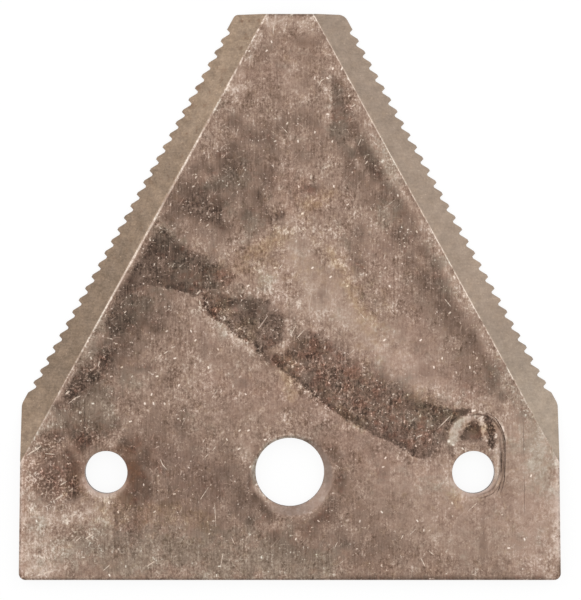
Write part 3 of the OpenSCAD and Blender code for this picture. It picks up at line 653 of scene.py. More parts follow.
# Bright scratches, bare metal with its glint painted in: (half width, [(x, y) along it])
SCRATCHES = [
    (0.08, [(-2.3, 60.6), (-2.2, 62.2)]), (0.06, [(4.0, 53.4), (4.3, 54.1), (4.9, 54.5)]),
    (0.06, [(-1.2, 47.9), (-0.3, 46.9)]), (0.05, [(-5.1, 47.8), (-5.0, 48.8)]),
    (0.05, [(9.4, 45.1), (9.9, 46.2)]), (0.08, [(8.5, 50.5), (9.1, 50.9)]),
    (0.08, [(10.4, 42.6), (10.8, 43.1)]), (0.08, [(11.7, 42.4), (11.9, 42.5)]),
    (0.14, [(2.9, 40.5), (3.0, 41.2)]), (0.10, [(-11.6, 34.0), (-11.2, 34.3)]),
    (0.07, [(-12.4, 34.8), (-12.2, 35.0)]), (0.06, [(-7.7, 30.6), (-7.5, 31.0)]),
    (0.07, [(-1.5, 28.1), (-1.0, 28.8)]), (0.12, [(12.8, 34.7), (13.1, 35.1)]),
    (0.09, [(13.3, 33.4), (13.5, 33.5)]), (0.12, [(15.7, 31.3), (16.0, 31.2)]),
    (0.07, [(15.1, 31.5), (15.3, 31.5)]), (0.06, [(13.0, 29.4), (13.2, 30.2)]),
    (0.07, [(12.4, 27.5), (12.6, 27.8)]), (0.08, [(14.2, 22.6), (14.3, 23.6)]),
    (0.06, [(9.7, 22.0), (10.6, 21.0)]), (0.06, [(-6.9, 24.6), (-6.6, 24.2)]),
    (0.10, [(-12.9, 24.6), (-12.3, 25.2)]), (0.10, [(-12.5, 23.8), (-12.3, 23.0)]),
    (0.09, [(-18.1, 16.0), (-17.8, 16.2)]), (0.08, [(-17.4, 16.4), (-16.8, 16.8)]),
    (0.09, [(-16.4, 17.2), (-15.8, 17.5)]), (0.13, [(-31.0, 10.8), (-30.4, 11.3)]),
    (0.07, [(-30.6, 9.5), (-29.8, 10.2), (-28.9, 10.6)]), (0.08, [(-25.3, 18.6), (-24.4, 18.4)]),
    (0.09, [(-24.2, 17.8), (-23.8, 17.8)]), (0.09, [(-23.4, 22.8), (-23.2, 22.9)]),
    (0.08, [(-22.9, 22.0), (-22.6, 22.3)]), (0.07, [(-26.5, 14.6), (-26.3, 15.4)]),
    (0.09, [(-27.9, 16.5), (-27.6, 16.6)]), (0.06, [(0.1, 18.9), (0.9, 20.4)]),
    (0.06, [(0.9, 18.5), (2.0, 19.7)]), (0.06, [(-4.3, 19.9), (-3.1, 21.6)]),
    (0.09, [(-7.8, 12.2), (-7.9, 11.6)]), (0.07, [(4.8, 17.0), (4.9, 17.5)]),
    (0.05, [(-10.8, 10.2), (-10.0, 11.4)]), (0.05, [(8.0, 16.2), (9.0, 17.0)]),
    (0.07, [(20.4, 6.0), (21.4, 7.0), (22.2, 7.8)]), (0.06, [(21.4, 24.0), (22.3, 22.9)]),
    (0.11, [(21.9, 21.9), (22.3, 22.2)]), (0.13, [(-32.5, -3.8), (-31.3, -3.1)]),
    (0.09, [(-31.8, -1.8), (-30.8, -1.2)]), (0.12, [(-30.6, -6.2), (-29.4, -5.6)]),
    (0.09, [(-28.3, -9.2), (-27.0, -8.4)]), (0.08, [(-29.6, -9.5), (-28.8, -8.9)]),
    (0.07, [(-17.9, 1.9), (-17.6, 1.1), (-17.0, 0.4)]), (0.08, [(-19.8, -13.0), (-18.7, -12.3)]),
    (0.06, [(-25.8, -13.6), (-24.9, -12.8)]), (0.16, [(-35.1, -14.3), (-32.5, -13.5)]),
    (0.10, [(-36.3, 2.4), (-34.4, 3.6)]), (0.07, [(-33.9, 2.6), (-32.4, 2.5)]),
    (0.09, [(-18.9, -5.6), (-18.5, -5.3)]), (0.10, [(-20.2, -1.9), (-20.2, -1.5)]),
    (0.07, [(-32.8, -9.7), (-32.3, -10.4)]), (0.10, [(0.2, -6.9), (0.8, -5.8)]),
    (0.05, [(-10.4, -4.2), (-10.2, -7.6)]), (0.06, [(-8.1, -8.9), (-7.6, -10.0)]),
    (0.06, [(-9.2, -11.0), (-9.6, -13.2)]), (0.05, [(-11.2, -2.0), (-12.4, -3.8)]),
    (0.06, [(-12.0, 4.1), (-11.8, 4.6)]), (0.08, [(-10.7, 3.0), (-10.2, 3.6)]),
    (0.05, [(-12.0, 1.8), (-11.2, 2.6)]), (0.05, [(6.2, -10.4), (6.6, -9.6)]),
    (0.07, [(24.6, -5.4), (25.9, -4.2)]), (0.07, [(18.1, -11.8), (18.7, -13.0)]),
    (0.06, [(15.4, -9.2), (15.7, -8.6)]), (0.06, [(16.6, -8.6), (17.4, -7.8)]),
    (0.10, [(21.5, -11.1), (21.9, -10.6)]), (0.07, [(19.2, -10.8), (19.9, -11.4)]),
    (0.13, [(21.6, -1.3), (21.9, -1.6)]), (0.08, [(22.5, -6.2), (22.5, -5.9)]),
    (0.09, [(21.5, -14.0), (21.8, -14.0)]), (0.09, [(25.2, -14.1), (25.5, -14.1)]),
    (0.09, [(29.2, -5.9), (29.5, -5.8)]), (0.13, [(36.0, 2.6), (36.2, 3.6)]),
    (0.10, [(35.3, 4.5), (35.5, 4.8)]), (0.10, [(28.5, 4.8), (28.5, 5.3)]),
    (0.10, [(22.1, 1.5), (22.2, 1.7)]), (0.09, [(23.2, -2.8), (23.3, -2.6)]),
]

# Scores painted dark as the shade in their grooves and along the bruise's edges, in the same form
SHADED_SCORES = [
    (0.03, [(32.3, 7.6), (32.4, 1.0)]), (0.025, [(32.4, 0.4), (32.45, -6.0)]),
    (0.05, [(-28.4, 9.4), (-28.3, 3.0)]),
    # Dark lines along the bruise's outer edge: painted shade of its relief
    (0.08, [(26.6, 8.5), (27.4, 8.2), (28.5, 7.4), (29.4, 6.0), (29.75, 4.4), (29.75, 0.4),
            (29.6, -1.6), (29.0, -3.2)]),
    (0.11, [(29.2, 4.0), (29.25, 0.4), (29.1, -1.8), (28.5, -3.2)]),
]


# Plan of the plate

def unit(vector):
    return vector / np.linalg.norm(vector)


def along(points, step):
    """Points along a line through the given points, no further apart than step."""
    out = []
    for start, end in zip(points[:-1], points[1:]):
        count = max(1, math.ceil(np.linalg.norm(end - start) / step))
        out += [start + (end - start) * i / count for i in range(count)]
    return np.array(out + [points[-1]])


class Plan:
    """The plate's plan in millimetres, worked out from its sizes."""

    arc_step = math.radians(7)
    least_radius = 0.05

    def __init__(self, sizes):
        for name in sizes.__annotations__:
            scale = 1 if name == "mouth_angle" else 1 / MM
            setattr(self, name, getattr(sizes, name) * scale)
        self.corners = np.array([
            (-self.heel_width / 2, self.heel), (self.heel_width / 2, self.heel),
            (self.shoulder_width / 2, self.shoulder), (self.tip_width / 2, self.tip),
            (-self.tip_width / 2, self.tip), (-self.shoulder_width / 2, self.shoulder)])
        self.radii = [self.heel_radius, self.heel_radius, self.shoulder_radius,
                      self.tip_right_radius, self.tip_left_radius, self.shoulder_radius]
        self.edge = self.corners[3] - self.corners[2]
        self.slant = math.atan2(-self.edge[0], self.edge[1])
        self.bevel_slope = (self.thickness - self.edge_land) / self.bevel_width
        half = self.rivet_spacing / 2
        self.holes = [((0, 0), self.centre_radius), ((-half, 0), self.rivet_radius),
                      ((half, 0), self.rivet_radius)]

    def side_distance(self, points, start):
        """How far points lie inside the side that starts at a corner."""
        a, b = self.corners[start], self.corners[(start + 1) % 6]
        inward = unit(np.array([a[1] - b[1], b[0] - a[0]]))
        return (points - a) @ inward

    def cutting_distance(self, points):
        """How far points lie inside the nearer cutting edge."""
        return np.minimum(self.side_distance(points, 2), self.side_distance(points, 4))

    def rim_distance(self, points):
        """How far points lie inside the nearest edge that was only sheared."""
        return np.minimum.reduce([self.side_distance(points, i) for i in (0, 1, 3, 5)])

    def outline(self, inset):
        """The outline as a loop of points, moved inwards by inset."""
        loop = []
        for i, (corner, radius) in enumerate(zip(self.corners, self.radii)):
            before = unit(self.corners[i - 1] - corner)
            after = unit(self.corners[(i + 1) % 6] - corner)
            half_angle = math.acos(before @ after) / 2
            inward = unit(before + after)
            moved = corner + inward * inset / math.sin(half_angle)
            radius = max(radius - inset, self.least_radius)
            middle = moved + inward * radius / math.sin(half_angle)
            x, y = moved + before * radius / math.tan(half_angle) - middle
            sweep = math.pi - 2 * half_angle
            count = max(2, math.ceil(sweep / self.arc_step))
            for turn in np.linspace(0, sweep, count + 1):
                c, s = math.cos(turn), math.sin(turn)
                loop.append(middle + np.array([c * x - s * y, s * x + c * y]))
        return along(np.array(loop + loop[:1]), self.grain)[:-1]

    def bevel_lines(self, inset):
        """Both lines at the distance inset inside the cutting edges, past the outline."""
        lines = []
        runout = self.bevel_width / math.tan(self.slant) + self.bevel_width
        for start in (2, 4):
            a, b = self.corners[start], self.corners[(start + 1) % 6]
            way = unit(b - a)
            inward = np.array([-way[1], way[0]])
            ends = np.array([a - way * runout, b + way * runout])
            lines.append(along(ends + inward * inset, self.grain))
        return lines

    def circle(self, middle, radius, count):
        turn = np.arange(count) * 2 * math.pi / count
        return np.array(middle) + radius * np.stack([np.cos(turn), np.sin(turn)], 1)


def lattice_noise(points, spacing, seed):
    """Smooth noise from -1 to 1 over a plane, with features about spacing across."""
    grid = np.random.default_rng(seed).uniform(-1, 1, (256, 256))
    place = points / spacing
    cell = np.floor(place).astype(int)
    part = place - cell
    part = part * part * (3 - 2 * part)
    x, y = cell[:, 0] % 256, cell[:, 1] % 256
    x1, y1 = (x + 1) % 256, (y + 1) % 256
    low = grid[x, y] * (1 - part[:, 0]) + grid[x1, y] * part[:, 0]
    high = grid[x, y1] * (1 - part[:, 0]) + grid[x1, y1] * part[:, 0]
    return low * (1 - part[:, 1]) + high * part[:, 1]


def smooth(value, low, high):
    """0 below low and 1 above high, with a smooth step between."""
    part = np.clip((value - low) / (high - low), 0, 1)
    return part * part * (3 - 2 * part)


def line_distance(points, start, end):
    """Distance from a straight line, and the line's third number at its nearest place."""
    way = end - start
    flat = way[:2]
    part = np.clip((points - start[:2]) @ flat / max(flat @ flat, 1e-9), 0, 1)
    gap = np.linalg.norm(points - start[:2] - part[:, None] * flat, axis=1)
    return gap, start[2] + part * way[2]


def mark_distance(points, mark):
    """Distance from a mark's edge, below 0 inside it."""
    nodes = [np.array(node) for node in mark]
    pairs = list(zip(nodes[:-1], nodes[1:])) or [(nodes[0], nodes[0])]
    nearest = np.full(len(points), np.inf)
    for start, end in pairs:
        gap, half_width = line_distance(points, start, end)
        nearest = np.minimum(nearest, gap - half_width)
    return nearest


def patch_strength(points, patches):
    """Strength of several soft patches together. Larger patches have more ragged edges."""
    left = np.ones(len(points))
    ragged = 0.55 * lattice_noise(points, 2.6, 18) + 0.45 * lattice_noise(points, 1.1, 19)
    for soft, most, mark in patches:
        inside = soft * 0.7 * ragged - mark_distance(points, mark)
        left *= 1 - most * smooth(inside, -soft, soft * 0.6)
    return 1 - left


def film_field(points):
    """Distance from the nearest film's edge, below 0 inside it, its softness and its strength."""
    distance = np.full(len(points), np.inf)
    softness = np.ones(len(points))
    strength = np.ones(len(points))
    x, y = points.T
    for most, film in FILMS:
        nearest = np.full(len(points), np.inf)
        soft = np.ones(len(points))
        inside = np.zeros(len(points), bool)
        nodes = np.array(film)
        for start, end in zip(nodes, np.roll(nodes, -1, axis=0)):
            gap, here = line_distance(points, start, end)
            soft = np.where(gap < nearest, here, soft)
            nearest = np.minimum(gap, nearest)
            if start[1] != end[1]:
                way = end - start
                crossing = start[0] + (y - start[1]) * way[0] / way[1]
                inside ^= ((start[1] > y) != (end[1] > y)) & (x < crossing)
        signed = np.where(inside, -nearest, nearest)
        softness = np.where(signed < distance, soft, softness)
        strength = np.where(signed < distance, most, strength)
        distance = np.minimum(signed, distance)
    return distance, softness, strength


# Relief of the top face, in millimetres

# Middle of the centre hole's mouth, which wore off the hole's axis
MOUTH_MIDDLE = np.array([0.3, -0.5])

# Middle line of the bruise from the axis of the right hole, and the edges of its torn parts
BRUISE_OFFSET = 0.4
BRUISE_ENDS = (0.1, 4.3)
BRUISE_LIP = [(22.3, 3.8, 0.4), (22.5, 5.6, 0.6), (23.2, 6.9, 0.5), (24.6, 7.7, 0.4),
              (25.8, 8.2, 0.3)]
BRUISE_HOLLOW = [(24.3, 5.2, 0.5), (25.2, 6.0, 0.7), (26.0, 5.4, 0.3)]

# Heights, depths and widths of the wear
FILM_HEIGHT = 0.016
DING_DEPTH = 0.03
BURR_HEIGHT = 0.03
BURR_HALF_WIDTH = 0.13
RIVET_LIP_WIDTH = 0.35
RIVET_LIP_DEPTH = 0.03
TORN_LIP_HEIGHT = 0.05
HIGHEST_RISE = 0.05


def bruise_relief(plan, points):
    """The beaten oblong round the right rivet hole: a trough with a torn lip along its left."""
    hole = np.array([plan.rivet_spacing / 2, 0])
    spine = [(hole[0] + BRUISE_OFFSET, end, plan.bruise_radius) for end in BRUISE_ENDS]
    inside = -mark_distance(points, spine) + 0.08 * lattice_noise(points, 0.9, 21)
    local = points - hole
    right = smooth(local[:, 0] + 0.1 * local[:, 1], -0.6, 1.4)
    trough = smooth(inside, 0.0, 0.2) * right
    ledge = smooth(inside, 0.5, 0.7) * (1 - smooth(inside, 1.3, 1.9)) * right
    upper = smooth(inside, 0.2, 0.8) * smooth(points[:, 1], 3.2, 4.4)
    rubble = upper * lattice_noise(points, 0.55, 22)
    torn = smooth(-mark_distance(points, BRUISE_LIP), -0.4, 0.3)
    dent = smooth(-mark_distance(points, BRUISE_HOLLOW), -0.3, 0.5)
    beaten = 0.6 * ledge - trough - 0.5 * dent + 0.25 * rubble
    return plan.bruise_depth * beaten + TORN_LIP_HEIGHT * torn


def top_height(plan, points):
    """Height of the plate's upper surface."""
    height = np.full(len(points), plan.thickness)
    height += 0.006 * lattice_noise(points, 7, 11) + 0.004 * lattice_noise(points, 1.7, 12)
    film, soft, strength = film_field(points)
    inner = -film - 0.3 * lattice_noise(points, 1.1, 13)
    height += FILM_HEIGHT * strength * smooth(inner, -soft, soft)
    dings = lattice_noise(points, 1.3, 14)
    height -= DING_DEPTH * smooth(dings, 0.62, 0.95)
    height += bruise_relief(plan, points)

    # Worn mouth of the centre hole, and the rounded lips of the rivet holes
    off_axis = np.linalg.norm(points - MOUTH_MIDDLE, axis=1)
    cone = plan.thickness - (plan.mouth_radius - off_axis) / math.tan(plan.mouth_angle / 2)
    height = np.minimum(height, cone + 0.012 * lattice_noise(points, 0.8, 15))
    for middle, radius in plan.holes[1:]:
        from_wall = np.linalg.norm(points - np.array(middle), axis=1) - radius
        lip = np.clip(1 - from_wall / RIVET_LIP_WIDTH, 0, 1)
        height -= RIVET_LIP_DEPTH * (1 - np.sqrt(1 - lip * lip))

    # Rolled-over rim
    roll = np.clip(1 - plan.rim_distance(points) / plan.rim_width, 0, 1)
    height -= plan.rim_depth * (1 - np.sqrt(np.maximum(1 - roll * roll, 0)))

    # Ground bevels, with the burr that the wheel left along their upper line
    inside = plan.cutting_distance(points)
    bevel = plan.edge_land + inside * plan.bevel_slope + 0.004 * lattice_noise(points, 0.9, 16)
    height = np.minimum(height, bevel)
    burr = np.exp(-(((inside - plan.bevel_width) / BURR_HALF_WIDTH) ** 2))
    height += BURR_HEIGHT * burr * (0.6 + 0.4 * lattice_noise(points, 1.1, 17))
    return np.clip(height, 0.5 * plan.edge_land, plan.thickness + HIGHEST_RISE)


# Mesh of the plate before it is serrated

def triangulate(points, edges):
    """Points and triangles of a Delaunay mesh that keeps the given edges."""
    found = delaunay_2d_cdt([Vector(p) for p in points], edges, [], 0, 1e-5)
    return np.array([tuple(p) for p in found[0]]), np.array([tuple(f) for f in found[2]])


def loop_edges(first, count):
    return [(first + i, first + (i + 1) % count) for i in range(count)]


# Corners of the beaten place at the right hole, where points lie closer by a factor
BRUISE_BOX = np.array([(21.4, -4.2), (30.4, 9.2)])
FINE_FACTOR = 0.45

# Points round a hole, and rows of points beside the plan's lines, by their distances
CENTRE_HOLE_POINTS = 96
RIVET_HOLE_POINTS = 64
RINGS = {
    "hole": (0.09, 0.2, 0.36),
    "rim": (0.06, 0.16, 0.28, 0.42),
    "bevel": (0, -0.14, 0.14, 0.32),
}


def plan_points(plan):
    """Points and fixed edges of the plan: the outline, the holes, rows beside them and a grid."""
    points, edges = [], []

    def add(part, closed=None):
        first = sum(len(p) for p in points)
        points.append(part)
        if closed is not None:
            loop = loop_edges(first, len(part))
            edges.extend(loop if closed else loop[:-1])

    add(plan.outline(0), True)
    for middle, radius in plan.holes:
        count = CENTRE_HOLE_POINTS if radius == plan.centre_radius else RIVET_HOLE_POINTS
        add(plan.circle(middle, radius, count), True)
        for ring in RINGS["hole"]:
            add(plan.circle(middle, radius + ring, count))
    for ring in RINGS["rim"]:
        add(plan.outline(ring))
    for offset in RINGS["bevel"]:
        for line in plan.bevel_lines(plan.bevel_width + offset):
            line = line[plan_depth(plan, line) > 0.02]
            add(line, False if offset == 0 else None)
    half = plan.heel_width / 2
    coarse = grid_points((-half, plan.heel), (half, plan.tip), plan.grain)
    fine_grain = plan.grain * FINE_FACTOR
    fine = grid_points(*BRUISE_BOX, fine_grain)
    beaten = np.all((coarse > BRUISE_BOX[0]) & (coarse < BRUISE_BOX[1]), axis=1)
    add(clear_points(plan, coarse[~beaten], plan.grain))
    add(clear_points(plan, fine, fine_grain))
    return np.concatenate(points), edges


def plan_depth(plan, points):
    """How far points lie inside the outline, its rounded corners aside."""
    return np.minimum(plan.rim_distance(points), plan.cutting_distance(points))


def grid_points(low, high, spacing):
    """A loose triangular grid over a rectangle."""
    rows = np.arange(low[1], high[1], spacing * math.sqrt(0.75))
    columns = np.arange(low[0], high[0], spacing)
    x, y = np.meshgrid(columns, rows)
    x[1::2] += spacing / 2
    grid = np.stack([x.ravel(), y.ravel()], 1)
    grid += np.random.default_rng(5).uniform(-0.22, 0.22, grid.shape) * spacing
    return grid


def clear_points(plan, grid, spacing):
    """The points of a grid that lie clear of the plan's lines and the rows beside them."""
    keep = plan_depth(plan, grid) > max(RINGS["rim"]) + 0.5 * spacing
    for middle, radius in plan.holes:
        far = max(RINGS["hole"]) + 0.5 * spacing
        keep &= np.linalg.norm(grid - np.array(middle), axis=1) > radius + far
    from_line = np.abs(plan.cutting_distance(grid) - plan.bevel_width)
    keep &= from_line > max(RINGS["bevel"]) + 0.4 * spacing
    return grid[keep]


def outside_holes(plan, points, triangles):
    centre = points[triangles].mean(axis=1)
    keep = np.ones(len(triangles), bool)
    for middle, radius in plan.holes:
        keep &= np.linalg.norm(centre - np.array(middle), axis=1) > radius * 0.998
    return triangles[keep]


def rim_edges(triangles):
    """Edges that belong to one triangle only, in that triangle's direction."""
    edges = np.concatenate([triangles[:, [0, 1]], triangles[:, [1, 2]], triangles[:, [2, 0]]])
    key = np.sort(edges, axis=1)
    _, first, count = np.unique(key, axis=0, return_index=True, return_counts=True)
    return edges[first[count == 1]]


# Material numbers, and heights of the walls' rows of points as parts of the walls' own height
TOP, BEVEL, WALL, UNDERSIDE = range(4)
WALL_BANDS = (0.66, 0.6, 0.0)


def plate_mesh(plan):
    """The plate before serration, as a closed mesh with a material number for each face."""
    points, edges = plan_points(plan)
    points, triangles = triangulate(points, edges)
    triangles = outside_holes(plan, points, triangles)
    heights = top_height(plan, points)
    ground = plan.cutting_distance(points[triangles].mean(axis=1)) < plan.bevel_width
    verts = [np.column_stack([points, heights])]
    faces = [triangles]
    kinds = [np.where(ground, BEVEL, TOP)]

    # Sheared walls: a smooth band over a torn one, down to the underside
    border = rim_edges(triangles)
    ids, slot = np.unique(border, return_inverse=True)
    slot = slot.reshape(border.shape)
    upper = ids
    base = len(points)
    for band in WALL_BANDS:
        ring = np.column_stack([points[ids], heights[ids] * band])
        lower = base + np.arange(len(ids))
        base += len(ids)
        verts.append(ring)
        a, b = slot[:, 0], slot[:, 1]
        faces.append(np.column_stack([upper[b], upper[a], lower[a]]))
        faces.append(np.column_stack([upper[b], lower[a], lower[b]]))
        kinds += [np.full(len(border), WALL)] * 2
        upper = lower

    # Underside, from the same border points
    flat, under = triangulate(points[ids], [tuple(pair) for pair in slot])
    if len(flat) != len(ids):
        raise RuntimeError("the underside's border points were merged")
    under = outside_holes(plan, flat, under)
    faces.append(upper[under[:, ::-1]])
    kinds.append(np.full(len(under), UNDERSIDE))
    return np.concatenate(verts) * MM, np.concatenate(faces), np.concatenate(kinds)


# Node trees

class Value:
    """A number that a node gives, on which arithmetic adds Math nodes."""

    def __init__(self, graph, socket):
        self.graph = graph
        self.socket = socket

    def other(self, name):
        """Another output of the same node."""
        return Value(self.graph, self.socket.node.outputs[name])

    def math(self, operation, *others):
        return self.graph.node("ShaderNodeMath", {"operation": operation},
                               dict(enumerate((self, *others))))

    def __add__(self, other):
        return self.math("ADD", other)

    def __mul__(self, other):
        return self.math("MULTIPLY", other)

    def __sub__(self, other):
        return self.math("SUBTRACT", other)

    def __rsub__(self, other):
        return self.graph.node("ShaderNodeMath", {"operation": "SUBTRACT"}, {0: other, 1: self})

    def __truediv__(self, other):
        return self.math("DIVIDE", other)

    __radd__ = __add__
    __rmul__ = __mul__

    def size(self):
        return self.math("ABSOLUTE")

    def least(self, other):
        return self.math("MINIMUM", other)

    def most(self, other):
        return self.math("MAXIMUM", other)

    def step(self, low, high):
        """0 at low and 1 at high, with a smooth step between."""
        return self.graph.node("ShaderNodeMapRange", {"interpolation_type": "SMOOTHSTEP"},
                               {"Value": self, "From Min": low, "From Max": high})


class Graph:
    """Adds nodes to one node tree."""

    def __init__(self, tree):
        self.tree = tree

    def node(self, kind, settings=None, inputs=None, out=None):
        """A new node with its settings and inputs, as the Value of one of its outputs."""
        made = self.tree.nodes.new(kind)
        for name, value in (settings or {}).items():
            if name == "stops":
                self.set_stops(made.color_ramp, value)
            else:
                setattr(made, name, value)
        for key, value in (inputs or {}).items():
            socket = self.find(made.inputs, key)
            for one in value if isinstance(value, list) else [value]:
                if isinstance(one, Value):
                    self.tree.links.new(one.socket, socket)
                else:
                    socket.default_value = one
        outputs = [socket for socket in made.outputs if socket.enabled]
        if not outputs:
            return made
        return Value(self, self.find(made.outputs, out) if out else outputs[0])

    def set_stops(self, ramp, stops):
        while len(ramp.elements) < len(stops):
            ramp.elements.new(1)
        for element, (place, colour) in zip(ramp.elements, stops):
            element.position = place
            element.color = opaque(colour)

    def find(self, sockets, key):
        if isinstance(key, int):
            return sockets[key]
        named = [s for s in sockets if s.identifier == key]
        named += [s for s in sockets if s.name == key and s.enabled]
        if not named:
            raise KeyError(f"no socket {key!r}")
        return named[0]

    def axis(self, vector, name):
        """One axis of a vector."""
        return self.node("ShaderNodeSeparateXYZ", None, {"Vector": vector}, out=name)

    def combine(self, x, y, z):
        """A vector from its axes."""
        return self.node("ShaderNodeCombineXYZ", None, {"X": x, "Y": y, "Z": z})


class Surface(Graph):
    """Node tree of one material, in millimetres of the plate's own frame."""

    def __init__(self, name):
        self.material = bpy.data.materials.new(name)
        self.material.use_nodes = True
        super().__init__(self.material.node_tree)
        self.tree.nodes.clear()
        place = self.node("ShaderNodeTexCoord", out="Object")
        self.place = self.vector("SCALE", place, Scale=1 / MM)

    def vector(self, operation, first, second=None, **more):
        inputs = {0: first, **more}
        if second is not None:
            inputs[1] = second
        return self.node("ShaderNodeVectorMath", {"operation": operation}, inputs)

    def noise(self, scale, detail, roughness, stretch=(1, 1, 1), seed=0.0):
        """Noise from 0 to 1. scale is features for each millimetre."""
        place = self.vector("MULTIPLY_ADD", self.place, stretch,
                            Vector_002=(seed, 2 * seed, 3 * seed))
        return self.node("ShaderNodeTexNoise", {"noise_dimensions": "3D"},
                         {"Vector": place, "Scale": scale, "Detail": detail,
                          "Roughness": roughness})

    def uneven(self, *sizes, **more):
        """Noise from -0.5 to 0.5, in the same form."""
        return self.noise(*sizes, **more) - 0.5

    def ticks(self, scale, half_length, half_width, lean, spread, share, seed):
        """Short straight marks, one in a share of the cells, scale cells for each millimetre."""
        place = self.vector("ADD", self.place, (seed, 1.7 * seed, 0))
        middle = self.node("ShaderNodeTexVoronoi", {"voronoi_dimensions": "2D"},
                           {"Vector": place, "Scale": scale}, out="Position")
        chance = self.node("ShaderNodeSeparateColor", None,
                           {"Color": middle.other("Color")}, out="Red")
        turn = (chance - 0.5) * (2 * spread) + lean
        local = self.node("ShaderNodeVectorRotate", {"rotation_type": "Z_AXIS"},
                          {"Vector": self.vector("SUBTRACT", place, middle), "Angle": 0 - turn})
        x = self.axis(local, "X")
        long = 1 - x.size().step(half_length * 0.4, half_length)
        thin = 1 - x.other("Y").size().step(half_width * 0.4, half_width)
        return long * thin * chance.other("Green").step(1 - share, 1 - 0.5 * share)

    def attribute(self, name):
        return self.node("ShaderNodeAttribute", {"attribute_name": name}, out="Fac")

    def mix(self, factor, first, second):
        """A colour on the way from the first to the second."""
        return self.node("ShaderNodeMix", {"data_type": "RGBA"},
                         {"Factor_Float": factor, "A_Color": first, "B_Color": second},
                         out="Result_Color")

    def tinted(self, colour, factor, tint):
        """A colour multiplied by a tint, by a factor."""
        return self.node("ShaderNodeMix", {"data_type": "RGBA", "blend_type": "MULTIPLY"},
                         {"Factor_Float": factor, "A_Color": colour, "B_Color": opaque(tint)},
                         out="Result_Color")

    def ramp(self, value, stops):
        """Colours along a value from 0 to 1."""
        return self.node("ShaderNodeValToRGB", {"stops": stops}, {"Fac": value})

    def finish(self, colour, metallic, roughness, bump=None, depth=0.0):
        """Ends the tree, and gives the material. depth is that of the bump, in millimetres."""
        inputs = {"Base Color": colour, "Metallic": metallic, "Roughness": roughness}
        if bump is not None:
            inputs["Normal"] = self.node("ShaderNodeBump", None, {
                "Strength": 1.0, "Distance": depth * MM, "Height": bump})
        shader = self.node("ShaderNodeBsdfPrincipled", None, inputs)
        self.node("ShaderNodeOutputMaterial", None, {"Surface": shader})
        return self.material


def opaque(colour):
    return (*colour, 1.0)


# Finishes of the steel

def dark_film(s):
    """Strength of the dark films, of their sharp borders and of the scraped steel beside them."""
    edge = (s.attribute("film") + s.uneven(0.9, 3, 0.6, seed=1.0) * 0.8
            + s.uneven(3.2, 2, 0.6, seed=2.0) * 1.15)
    soft = s.attribute("film_soft")
    film = (1 - (edge / soft).step(-1.0, 1.0)) * s.attribute("film_strength")
    sharp = 1 - soft.step(0.2, 0.5)
    border = film * edge.step(-1.2, 0.0) * sharp
    scraped = (1 - film).most(0.0) * (1 - edge.step(0.1, 0.5)) * sharp
    return film, border, scraped


def with_casts(s, colour, dark):
    """A colour with grey-green, red-brown, pinkish and tan casts over it."""
    cast = s.uneven(0.6, 6, 0.78, seed=18.0)
    green = s.attribute("olive") * 1.3 + s.uneven(0.2, 3, 0.6, seed=10.0) * 1.4 - cast * 4.4
    colour = s.tinted(colour, green.step(0.1, 1.4), (0.925, 1.0, 1.0))
    warm = s.attribute("warm") * 1.1 + cast * (5.0 + dark * 4.0) - 0.25 - dark * 0.3
    colour = s.tinted(colour, warm.step(-0.8, 1.8), (1.0, 0.94, 0.9))
    deep = s.attribute("warm") * 0.6 + s.uneven(0.8, 4, 0.65, seed=27.0) * 6.0
    colour = s.tinted(colour, deep.step(0.2, 1.5) * dark, (1.0, 0.82, 0.77))
    colour = s.tinted(colour, s.attribute("pink"), (1.0, 0.975, 0.985))
    tan = s.attribute("tan") + s.uneven(0.9, 5, 0.8, seed=25.0) * 4.4
    return s.tinted(colour, tan.step(0.0, 1.5), (1.0, 0.985, 0.86))


